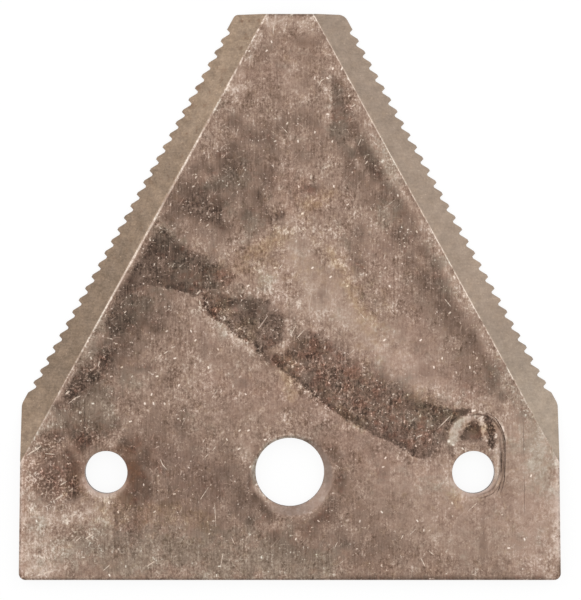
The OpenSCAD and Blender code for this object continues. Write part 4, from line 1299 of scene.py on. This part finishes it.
def rolled_steel(finish):
    """Top face: rolled steel with stains, dark films, rust, specks and fine scratches, with painted
    glints, a painted highlight along the bevel lines and painted shade along some edges.
    """
    s = Surface("rolled_steel")
    broad = s.uneven(0.09, 3, 0.55, seed=3.0)
    blotch = s.uneven(0.4, 4, 0.6, seed=4.0)
    mottle = s.uneven(1.2, 3, 0.65, seed=5.0)
    grain = s.uneven(3.0, 3, 0.8, stretch=(1.15, 0.88, 1), seed=6.0)
    streak = s.uneven(1.0, 3, 0.6, stretch=(2.2, 0.1, 1), seed=7.0)
    thread = s.uneven(1.0, 2, 0.6, stretch=(4.2, 0.5, 1), seed=34.0)
    speck = s.noise(3.4, 1, 0.5, seed=8.0).step(0.64, 0.76)
    pit = s.noise(2.4, 2, 0.5, seed=9.0).step(0.6, 0.72)
    tick = (s.ticks(0.8, 0.5, 0.10, 0.9, 0.7, 0.3, 11.0)
            + s.ticks(0.3, 1.2, 0.08, 1.1, 0.5, 0.3, 23.0)
            + s.ticks(0.6, 0.5, 0.09, 1.6, 1.6, 0.3, 37.0))
    patchy = s.noise(0.45, 2, 0.5, seed=26.0).step(0.3, 0.7)
    amount = (1 - s.attribute("smooth") * 0.55) * (0.7 + patchy * 0.6)

    film, border, scraped = dark_film(s)
    # Dark patches: mostly stains, with painted shade along the centre hole's mouth and the heel
    # edge
    grime = s.attribute("grime")
    speckle = (blotch * 0.8 + mottle * 1.4 + grain * 1.4) * grime.step(0.0, 0.35)
    dirt_and_shade = (grime * 1.15 + speckle).step(0.05, 1.0)
    pale = s.attribute("pale") * (1.05 + mottle * 0.3)
    dark = (dirt_and_shade + film).least(1.0)
    texture = (blotch * 0.5 + mottle * 0.86 + grain * 1.5 + streak * 0.32 + thread * 0.48) * amount
    texture = texture * (1 + dark * 0.12)
    tone = 0.5725 + broad * 0.2 + texture + texture * texture * 0.2
    tone = tone - dirt_and_shade * 0.34 + pale * 0.3
    tone = tone - film * 0.21 - border * 0.1 + scraped * 0.1
    flaws = speck * (0.28 + dark * 0.54) + tick * (0.12 + dark * 0.26) - pit * 0.1
    tone = tone + flaws * amount
    spark = s.ticks(0.8, 0.26, 0.14, 1.2, 1.2, 0.055, 51.0)
    # Sparks, and painted glints on the torn metal round the bruise
    tone = tone + spark * 0.7 + s.attribute("flash") * 0.95
    fleck = s.noise(3.0, 3, 0.7, seed=24.0)
    tone = tone + (fleck.step(0.48, 0.64) * 0.68 - 0.22) * s.attribute("crust")

    mouth = s.attribute("mouth")
    tone = tone + ((0.86 + mottle * 0.3) - tone) * mouth * 0.85 + s.attribute("side_rim") * 0.16
    # Painted highlight on the burr along the bevel line
    line = bevel_line(s)
    tone = tone + line * 0.5
    colour = s.ramp(tone * 0.75, [(0.0, finish.soot), (0.19, finish.stain), (0.435, finish.steel),
                                  (0.585, finish.pale), (1.0, finish.bright)])

    colour = s.tinted(with_casts(s, colour, dark), mouth, (1.0, 1.0, 1.04))
    rusty = (s.attribute("rust") * (1 + mottle * 1.6 + grain)).step(0.1, 1.0)
    colour = s.mix(rusty * 0.6, colour, opaque(finish.rust))
    dark_and_rusty = (dark * 0.8 + rusty).least(1.0)
    rough = 0.44 + dark_and_rusty * 0.2 + grain * 0.3 - line * 0.1
    metal = 0.9 - dark_and_rusty * 0.4
    bump = grain * 0.6 + streak * 0.3 + mottle * 0.5 - pit * 0.5 - tick * 0.4
    return s.finish(colour, metal, rough, bump, 0.02)


def bevel_line(s):
    """Strength of the painted highlight on the burr where a bevel meets the top face, which is
    wider at the left.
    """
    plan = Plan(bpy.context.scene.sickle_sizes)
    x = s.axis(s.place, "X")
    across, up = x.size(), x.other("Y")
    left = 1 - x.step(-1.0, 1.0)
    cos, sin = math.cos(plan.slant), math.sin(plan.slant)
    tip = plan.corners[3]
    inside = tip[0] * cos + tip[1] * sin - (across * cos + up * sin)
    uneven = s.noise(0.5, 3, 0.7, seed=12.0)
    thick = up.step(10.0, 35.0) * (1 - up.step(46.0, 57.0) * 0.8)
    half = 0.07 + left * (0.03 + thick * 0.09) + (uneven - 0.5) * 0.25
    gap = (inside - plan.bevel_width - left * 0.06).size()
    low = (up + (1 - left) * 6.0).step(7.0, 22.0)
    shown = 0.1 + left * 0.22
    seen = (uneven + 0.12 + left * 0.13).step(0.36, 0.6) * (shown + low * (1 - shown))
    beads = s.noise(2.0, 2, 0.6, seed=28.0).step(0.4, 0.6)
    seen = seen * (1 - (1 - beads) * left * up.step(40.0, 52.0) * 0.65)
    return (1 - (gap - half).step(-0.06, 0.12)) * seen


def ground_steel(finish):
    """Bevels: ground steel with fine marks from the wheel and a few rust spots."""
    s = Surface("ground_steel")
    broad = s.uneven(0.12, 2, 0.5, seed=13.0)
    cloud = s.uneven(0.7, 4, 0.7, seed=14.0)
    grain = s.uneven(3.0, 3, 0.7, seed=15.0)
    mark = s.uneven(1.6, 2, 0.6, stretch=(0.3, 3.0, 1), seed=16.0)
    speck = s.noise(3.2, 1, 0.5, seed=17.0).step(0.68, 0.78)
    x = s.axis(s.place, "X")
    up = x.other("Y")
    right = x.step(-1.0, 1.0)
    left = 1 - right
    # Specks, and the painted highlight on the burr along the bevel line
    tone = 0.5 + broad * 0.3 + speck * (0.3 + left * 0.25) + bevel_line(s) * 0.3
    tone = tone + (cloud * 1.4 + grain * 1.4 + mark * 0.5) * (0.6 + left * 0.28)
    low_end = 1 - (up - right * 2.0).step(6.0, 14.0)
    tone = tone - left * (1 - up.step(10.0, 64.0)) * 0.24 + low_end * (0.2 + left * 0.1)
    tone = tone - right * up.step(30.0, 64.0) * 0.14 + left * up.step(40.0, 50.0) * 0.1
    dark = [0.62 * c for c in finish.ground]
    light = [min(1.0, 1.5 * c) for c in finish.ground]
    colour = s.ramp(tone, [(0.0, dark), (0.5, finish.ground), (1.0, light)])
    cast = s.uneven(0.6, 5, 0.75, seed=19.0) * 2.4
    colour = s.tinted(colour, (cast + left * 0.5).step(-0.4, 1.2), (1.0, 0.955, 0.89))
    colour = s.tinted(colour, right, (0.97, 1.0, 1.045))
    colour = s.tinted(colour, right * (1 - up.step(10.0, 24.0)), (0.965, 1.0, 1.01))
    spots = s.noise(1.1, 2, 0.5, seed=29.0).step(0.62, 0.72) * left * up.step(16.0, 50.0) * 0.5
    rusty = (s.attribute("rust") * (1 + cloud * 2.4)).step(0.15, 0.9).most(spots)
    colour = s.mix(rusty * 0.7, colour, opaque(finish.rust))
    rough = 0.38 + grain * 0.2 + rusty * 0.2
    return s.finish(colour, 0.95 - rusty * 0.4, rough, mark * 0.6 + grain * 0.4, 0.01)


def dull_colour(s, finish, tone):
    """Colour of dull steel, from soot at 0 to rubbed steel at 1."""
    return s.ramp(tone, [(0.0, finish.soot), (0.3, finish.stain), (0.65, finish.steel),
                         (1.0, finish.pale)])


def sheared_steel(finish):
    """Walls of the outline and the holes: a smooth sheared band over a torn one."""
    s = Surface("sheared_steel")
    plan = Plan(bpy.context.scene.sickle_sizes)
    height = s.axis(s.place, "Z")
    wander = s.uneven(0.7, 2, 0.6, stretch=(1, 1, 0.2), seed=20.0)
    torn = 1 - (height + wander * 0.5).step(plan.thickness * 0.52, plan.thickness * 0.66)
    grain = s.noise(4.0, 3, 0.7, seed=21.0)
    line = s.noise(2.4, 2, 0.6, stretch=(1, 1, 0.08), seed=22.0)
    tone = 0.56 - torn * 0.22 + (grain - 0.5) * (0.2 + torn * 0.5) + (line - 0.5) * 0.3
    colour = dull_colour(s, finish, tone)
    rough = 0.34 + torn * 0.3
    return s.finish(colour, 0.9 - torn * 0.2, rough, grain * (0.2 + torn) + line * 0.4, 0.03)


def underside_steel(finish):
    """Underside: rolled steel that the knife back has rubbed."""
    s = Surface("underside_steel")
    broad = s.noise(0.1, 3, 0.6, seed=30.0)
    blotch = s.noise(0.5, 4, 0.6, seed=31.0)
    grain = s.noise(4.5, 2, 0.6, seed=32.0)
    streak = s.noise(1.0, 3, 0.6, stretch=(3.2, 0.16, 1), seed=33.0)
    stain = (broad * 0.6 + blotch * 0.5).step(0.5, 0.72)
    tone = 0.66 + (blotch - 0.5) * 0.3 + (grain - 0.5) * 0.25 + (streak - 0.5) * 0.3 - stain * 0.32
    colour = dull_colour(s, finish, tone)
    rough = 0.42 + stain * 0.2 + (grain - 0.5) * 0.2
    return s.finish(colour, 0.9 - stain * 0.4, rough, grain * 0.5 + streak * 0.5, 0.018)


def bright_steel(finish):
    """Fresh scratches: bare metal, with their glint painted into a bright colour."""
    s = Surface("bright_steel")
    grain = s.noise(3.0, 2, 0.6, seed=40.0)
    colour = s.mix(grain.step(0.2, 0.6), opaque(finish.pale), opaque(finish.bright))
    return s.finish(colour, 0.3, 0.4 + grain * 0.15)


def dirty_score(finish):
    """Scores painted dark, as the shade in their grooves."""
    s = Surface("dirty_score")
    grain = s.noise(2.0, 2, 0.6, seed=41.0)
    colour = s.mix(grain.step(0.3, 0.7), opaque(finish.soot), opaque(finish.steel))
    return s.finish(colour, 0.3, 0.6 + grain * 0.2)


# Geometry node trees

# Attributes that mark freshly cut faces and hold the half widths of scratches
CUT = "cut"
HALF_WIDTH = "half_width"

# Points along a scratch, and its width at the ends as a part of its full width
SCRATCH_POINTS = 13
SCRATCH_END = 0.08


def new_tree(name, inputs):
    """A geometry tree with a mesh in, a mesh out and the given inputs between."""
    tree = bpy.data.node_groups.new(name, "GeometryNodeTree")
    tree.interface.new_socket("Plate", in_out="INPUT", socket_type="NodeSocketGeometry")
    for label, kind in inputs:
        tree.interface.new_socket(label, in_out="INPUT", socket_type=kind)
    tree.interface.new_socket("Plate", in_out="OUTPUT", socket_type="NodeSocketGeometry")
    graph = Graph(tree)
    return graph, graph.node("NodeGroupInput")


def named(g, name, kind):
    """A stored attribute of the geometry."""
    return g.node("GeometryNodeInputNamedAttribute", {"data_type": kind}, {"Name": name},
                  out="Attribute")


def cut(g, mesh, bars):
    """Takes bars off a mesh, and marks the faces that they leave."""
    bars = g.node("GeometryNodeStoreNamedAttribute", {"data_type": "BOOLEAN", "domain": "FACE"},
                  {"Geometry": bars, "Name": CUT, "Value": True})
    return g.node("GeometryNodeMeshBoolean", {"operation": "DIFFERENCE", "solver": "MANIFOLD"},
                  {"Mesh 1": mesh, "Mesh 2": bars}, out="Mesh")


def end_tree(g, mesh, material):
    """Ends a tree with the material of the cut faces."""
    mesh = g.node("GeometryNodeRealizeInstances", None, {"Geometry": mesh})
    mesh = g.node("GeometryNodeSetMaterial", None, {
        "Geometry": mesh, "Selection": named(g, CUT, "BOOLEAN"), "Material": material})
    g.node("NodeGroupOutput", None, {0: mesh})
    return g.tree


def groove_cutter(g, sizes):
    """One groove cutter: a bar with sloping flanks, along X from the line of the tooth tips."""
    root, drop = sizes.other("Root Height"), sizes.other("Drop")
    inner, outer = sizes.other("Inner Run"), sizes.other("Outer Run")
    tall = root + drop
    box = g.node("GeometryNodeMeshCube", None, {"Size": g.combine(inner + outer, 1.0, tall)},
                 out="Mesh")
    x = g.axis(g.node("GeometryNodeInputPosition"), "X")
    y, z = x.other("Y"), x.other("Z")
    up = z / tall + 0.5
    width = sizes.other("Mouth Width") * (1 - up) + sizes.other("Root Width") * up
    moved = g.combine(x + (outer - inner) * 0.5, y * width, z + (root - drop) * 0.5)
    bar = g.node("GeometryNodeSetPosition", None, {"Geometry": box, "Position": moved})
    turn = g.combine(0.0, 0 - sizes.other("Ramp"), 0.0)
    return g.node("GeometryNodeTransform", None, {"Geometry": bar, "Rotation": turn})


# Smallest and largest scale of a groove along each of its axes
GROOVE_LEAST = (1.0, 0.96, 0.95)
GROOVE_MOST = (1.0, 1.0, 1.03)


def groove_row(g, sizes, cutter, start, side):
    """Every second groove under one cutting edge. side is 1 at the right and -1 at the left."""
    mirror = (side, 1.0, 1.0)
    first, step = sizes.other("First Notch"), sizes.other("Notch Step")

    def vector(operation, a, b):
        return g.node("ShaderNodeVectorMath", {"operation": operation}, {0: a, 1: b})

    begin = vector("ADD", first, vector("MULTIPLY", step, (start, start, start)))
    points = g.node("GeometryNodeMeshLine", None, {
        "Count": (sizes.other("Notch Count") - start + 1) / 2,
        "Start Location": vector("MULTIPLY", begin, mirror),
        "Offset": vector("MULTIPLY", step, (2 * side, 2, 2))})
    uneven = g.node("FunctionNodeRandomValue", {"data_type": "FLOAT_VECTOR"}, {
        0: GROOVE_LEAST, 1: GROOVE_MOST, "Seed": sizes.other("Seed") + (2 * start + side)})
    turn = (0.0, 0.0, 0.0 if side > 0 else math.pi)
    return g.node("GeometryNodeInstanceOnPoints", None, {
        "Points": points, "Instance": cutter, "Rotation": turn, "Scale": uneven})


def serration_tree():
    """Cuts the grooves under both edges, every second one at a time so that none overlap."""
    g, plate = new_tree("Serrated edges", [
        ("Notch Count", "NodeSocketInt"), ("First Notch", "NodeSocketVector"),
        ("Notch Step", "NodeSocketVector"), ("Root Height", "NodeSocketFloat"),
        ("Root Width", "NodeSocketFloat"), ("Mouth Width", "NodeSocketFloat"),
        ("Drop", "NodeSocketFloat"), ("Inner Run", "NodeSocketFloat"),
        ("Outer Run", "NodeSocketFloat"), ("Ramp", "NodeSocketFloat"),
        ("Seed", "NodeSocketInt"), ("Groove Material", "NodeSocketMaterial")])
    cutter = groove_cutter(g, plate)
    mesh = plate
    for start in (0, 1):
        rows = g.node("GeometryNodeJoinGeometry", None, {
            "Geometry": [groove_row(g, plate, cutter, start, side) for side in (1, -1)]})
        bars = g.node("GeometryNodeRealizeInstances", None, {"Geometry": rows})
        mesh = cut(g, mesh, bars)
    return end_tree(g, mesh, plate.other("Groove Material"))


def scratch_tree():
    """Cuts a tapered groove along each guide line."""
    g, plate = new_tree("Scratches", [
        ("Guides", "NodeSocketObject"), ("Scratch Material", "NodeSocketMaterial")])
    guides = g.node("GeometryNodeObjectInfo", None, {"Object": plate.other("Guides")},
                    out="Geometry")
    curves = g.node("GeometryNodeMeshToCurve", None, {"Mesh": guides})
    curves = g.node("GeometryNodeResampleCurve", None, {"Curve": curves, "Count": SCRATCH_POINTS})
    part = g.node("GeometryNodeSplineParameter", out="Factor")
    rounded = (part * (1 - part) * 4).math("POWER", 0.6)
    taper = rounded * (1 - SCRATCH_END) + SCRATCH_END
    radius = named(g, HALF_WIDTH, "FLOAT") * taper
    curves = g.node("GeometryNodeSetCurveRadius", None, {"Curve": curves, "Radius": radius})
    profile = g.node("GeometryNodeCurvePrimitiveCircle", None, {"Resolution": 4, "Radius": 1.0},
                     out="Curve")
    bars = g.node("GeometryNodeCurveToMesh", None, {
        "Curve": curves, "Profile Curve": profile, "Fill Caps": True,
        "Scale": g.node("GeometryNodeInputRadius")})
    return end_tree(g, cut(g, plate, bars), plate.other("Scratch Material"))


def with_tree(piece, tree, values):
    """A new mesh of piece with the tree applied, its inputs set by their names."""
    modifier = piece.modifiers.new(tree.name, "NODES")
    modifier.node_group = tree
    for item in tree.interface.items_tree:
        if item.in_out == "INPUT" and item.name in values:
            modifier[item.identifier] = values[item.name]
    piece.update_tag()
    bpy.context.view_layer.update()
    graph = bpy.context.evaluated_depsgraph_get()
    mesh = bpy.data.meshes.new_from_object(piece.evaluated_get(graph))
    piece.modifiers.remove(modifier)
    mesh.attributes.remove(mesh.attributes[CUT])
    return mesh


def drop_shards(mesh):
    """Deletes the loose shards between crossing cuts, so that one closed body is left."""
    work = bmesh.new()
    work.from_mesh(mesh)
    left = set(work.verts)
    parts = []
    while left:
        part = {next(iter(left))}
        front = list(part)
        while front:
            vert = front.pop()
            near = {edge.other_vert(vert) for edge in vert.link_edges} - part
            part |= near
            front.extend(near)
        left -= part
        parts.append(part)
    parts.sort(key=len)
    bmesh.ops.delete(work, geom=[vert for part in parts[:-1] for vert in part], context="VERTS")
    work.to_mesh(mesh)
    work.free()


def link(name, data):
    made = bpy.data.objects.new(name, data)
    bpy.context.scene.collection.objects.link(made)
    return made


def store(mesh, name, values):
    """Keeps a number for each point of a mesh."""
    mesh.attributes.new(name, "FLOAT", "POINT").data.foreach_set("value", values)


def guide_object(name, plan, lines):
    """Guide lines on the top face for the scratches, with their half widths."""
    points = np.array([point for _, line in lines for point in line])
    half = np.concatenate([[width] * len(line) for width, line in lines])
    ends = np.cumsum([len(line) for _, line in lines])
    edges = [(i, i + 1) for i in range(len(points) - 1) if i + 1 not in ends]
    mesh = bpy.data.meshes.new(name)
    verts = np.column_stack([points, top_height(plan, points)]) * MM
    mesh.from_pydata(verts.tolist(), edges, [])
    store(mesh, HALF_WIDTH, half * MM)
    return link(name, mesh)


def serration_values(plan, sizes):
    """Inputs of the serration tree, in metres, from the sizes of the plate and the teeth.
    A cutter reaches below the underside by the drop and past the groove's end by the overrun."""
    bevel_rise = plan.bevel_slope * math.cos(plan.slant)
    ramp_rise = math.tan(sizes.ramp)
    root = plan.edge_land * MM + sizes.depth / math.cos(plan.slant) * (bevel_rise + ramp_rise)
    drop = 0.15 * sizes.pitch
    overrun = 0.5 * MM
    way = -unit(plan.edge)
    first = plan.corners[3] * MM + way * sizes.tip_plain
    edge_length = np.linalg.norm(plan.edge) * MM
    plain = sizes.tip_plain + sizes.shoulder_plain
    root_across = root * math.cos(sizes.ramp)
    return {
        "Notch Count": int((edge_length - plain) / sizes.pitch) + 1,
        "First Notch": (*first, 0.0),
        "Notch Step": (*(way * sizes.pitch), 0.0),
        "Root Height": root_across,
        "Root Width": sizes.root,
        "Mouth Width": sizes.root + 2 * (root_across + drop) * math.tan(sizes.flank_angle / 2),
        "Drop": drop,
        "Inner Run": root / ramp_rise + overrun,
        "Outer Run": sizes.pitch,
        "Ramp": sizes.ramp,
        "Seed": sizes.seed,
    }


def store_marks(plan, mesh):
    """Keeps the marks on the plate's points, for its materials."""
    place = np.empty(len(mesh.vertices) * 3)
    mesh.vertices.foreach_get("co", place)
    points = place.reshape(-1, 3)[:, :2] / MM
    x, y = points.T

    # Lighter mouths of the holes: the lower right of the centre hole, the lower side of the others
    mouth = smooth(plan.mouth_radius - np.linalg.norm(points - MOUTH_MIDDLE, axis=1), -0.1, 0.2)
    mouth *= smooth(x - 0.6 * y, -2.5, 3.5)
    for middle, radius in plan.holes[1:]:
        local = points - np.array(middle)
        ring = 1 - smooth(np.linalg.norm(local, axis=1) - radius, 0.25, 0.6)
        mouth = np.maximum(mouth, ring * smooth(-local[:, 1], 0.0, 2.0))
    store(mesh, "mouth", mouth)

    # Lighter rims of the plain sides, brightest at the upper right
    sides = np.minimum(plan.side_distance(points, 1), plan.side_distance(points, 5))
    right = smooth(x, 0, 1) * smooth(y, -2, 2)
    rim = (1 - smooth(sides, 0.2, 0.7)) * smooth(y, -14.0, -11.0)
    store(mesh, "side_rim", rim * (1 + 0.8 * right))

    # Films and patches
    film, soft, strength = film_field(points)
    store(mesh, "film", np.clip(film, -4, 4))
    store(mesh, "film_soft", soft)
    store(mesh, "film_strength", strength)
    for name, patches in (("grime", GRIME_AND_SHADE), ("pale", PALE), ("rust", RUST), ("olive", OLIVE),
                          ("warm", WARM), ("pink", PINK), ("tan", TAN), ("crust", CRUST),
                          ("flash", GLINTS), ("smooth", SMOOTH)):
        store(mesh, name, patch_strength(points, patches))


# Operators

# Faces that meet at more than this angle show a sharp edge
SHARP_ANGLE = math.radians(24)


class SICKLE_OT_plate(bpy.types.Operator):
    """Builds the serrated plate and puts it in the place of its CAD solid"""

    bl_idname = "sickle.plate"
    bl_label = "Sickle plate"

    def execute(self, context):
        scene = context.scene
        plan = Plan(scene.sickle_sizes)
        finish = scene.sickle_finish
        mesh = bpy.data.meshes.new("blank")
        verts, faces, kinds = plate_mesh(plan)
        mesh.from_pydata(verts.tolist(), [], faces.tolist())
        mesh.polygons.foreach_set("material_index", kinds.astype(np.int32))
        for make in (rolled_steel, ground_steel, sheared_steel, underside_steel):
            mesh.materials.append(make(finish))
        piece = link("sickle_plate", mesh)

        values = serration_values(plan, scene.sickle_teeth)
        values["Groove Material"] = bpy.data.materials["ground_steel"]
        piece.data = with_tree(piece, serration_tree(), values)
        scratches = scratch_tree()
        for lines, make in ((SCRATCHES, bright_steel), (SHADED_SCORES, dirty_score)):
            guides = guide_object("guides", plan, lines)
            values = {"Guides": guides, "Scratch Material": make(finish)}
            piece.data = with_tree(piece, scratches, values)
            bpy.data.objects.remove(guides)
        if len(piece.data.polygons) < len(faces):
            raise RuntimeError("the grooves and scratches took faces away")

        drop_shards(piece.data)
        piece.data.name = "sickle_plate"
        store_marks(plan, piece.data)
        piece.data.shade_smooth()
        piece.data.set_sharp_from_angle(angle=SHARP_ANGLE)
        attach(piece, "root")
        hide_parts(NODE)
        return {"FINISHED"}


# Stage, in metres: the floor, the place and side of each light, and the middle of the picture
FLOOR_HALF = 2.0
FLOOR_GAP = 0.00005
LIGHTS = {
    "top_light": ((0, 0.02, 0.6), 0.7),
    "right_light": ((0.46, 0.34, 0.42), 0.5),
    "left_light": ((-0.46, 0.34, 0.42), 0.5),
}
LIGHT_AIM = Vector((0, 0.024, 0))
PICTURE_MIDDLE = (0.0001, 0.02383)
PICTURE_HEIGHT = 600


class SICKLE_OT_stage(bpy.types.Operator):
    """Sets the floor, the light and the camera"""

    bl_idname = "sickle.stage"
    bl_label = "Stage"

    def execute(self, context):
        look = context.scene.sickle_stage
        self.floor()
        self.sky(look)
        for name, (place, side) in LIGHTS.items():
            self.panel(name, getattr(look, name), place, side)
        self.camera(look)
        context.scene.view_settings.view_transform = "Standard"
        return {"FINISHED"}

    def floor(self):
        """A pale floor that shows white and keeps a soft shadow."""
        corners = [(x * FLOOR_HALF, y * FLOOR_HALF, 0)
                   for x, y in ((-1, -1), (1, -1), (1, 1), (-1, 1))]
        mesh = bpy.data.meshes.new("floor")
        mesh.from_pydata(corners, [], [(0, 1, 2, 3)])
        material = bpy.data.materials.new("floor")
        material.use_nodes = True
        g = Graph(material.node_tree)
        g.tree.nodes.clear()
        path = g.node("ShaderNodeLightPath", out="Is Camera Ray")
        seen = path.most(path.other("Is Glossy Ray")).most(path.other("Is Transmission Ray"))
        matt = g.node("ShaderNodeBsdfDiffuse", None, {"Color": (0.9, 0.9, 0.9, 1)})
        glow = g.node("ShaderNodeEmission", None, {"Color": (1, 1, 1, 1), "Strength": 1.05})
        both = g.node("ShaderNodeMixShader", None, {0: seen * 0.85, 1: matt, 2: glow})
        g.node("ShaderNodeOutputMaterial", None, {"Surface": both})
        mesh.materials.append(material)
        floor = link("floor", mesh)
        floor.location.z = LOW.z - FLOOR_GAP

    def sky(self, look):
        """Even light from all round."""
        world = bpy.data.worlds.new("sky")
        world.use_nodes = True
        g = Graph(world.node_tree)
        g.tree.nodes.clear()
        sky = g.node("ShaderNodeBackground", None, {"Color": (1, 1, 1, 1), "Strength": look.sky})
        g.node("ShaderNodeOutputWorld", None, {"Surface": sky})
        bpy.context.scene.world = world

    def panel(self, name, power, place, side):
        """A square soft light that faces the plate."""
        light = bpy.data.lights.new(name, "AREA")
        light.energy = power
        light.size = side
        made = link(name, light)
        made.location = place
        aim = LIGHT_AIM - made.location
        made.rotation_euler = aim.to_track_quat("-Z", "Y").to_euler()

    def camera(self, look):
        """Looks straight down. The lens fits the plate's top face to the picture's scale."""
        camera = bpy.data.cameras.new("camera")
        reach = (look.camera_height - HIGH.z) / MM
        camera.lens = camera.sensor_width * reach * look.picture_scale / PICTURE_HEIGHT
        camera.clip_start = 0.01
        made = link("camera", camera)
        made.location = (*PICTURE_MIDDLE, look.camera_height)
        bpy.context.scene.camera = made


class SICKLE_PT_panel(bpy.types.Panel):
    """Lists the steps that build the plate"""

    bl_idname = "SICKLE_PT_panel"
    bl_label = "Sickle section"
    bl_space_type = "VIEW_3D"
    bl_region_type = "UI"
    bl_category = "Sickle section"

    def draw(self, context):
        for operator in OPERATORS:
            self.layout.operator(operator.bl_idname)


GROUPS = {
    "sickle_sizes": PlateSizes,
    "sickle_teeth": SerrationSizes,
    "sickle_finish": SteelFinish,
    "sickle_stage": StageLook,
}
OPERATORS = (SICKLE_OT_plate, SICKLE_OT_stage)
CLASSES = (*GROUPS.values(), *OPERATORS, SICKLE_PT_panel)


def register():
    for made in CLASSES:
        bpy.utils.register_class(made)
    for name, group in GROUPS.items():
        setattr(bpy.types.Scene, name, PointerProperty(type=group))


def unregister():
    for name in GROUPS:
        delattr(bpy.types.Scene, name)
    for made in reversed(CLASSES):
        bpy.utils.unregister_class(made)


def main():
    register()
    bpy.ops.sickle.plate()
    bpy.ops.sickle.stage()


if __name__ == "__main__":
    main()
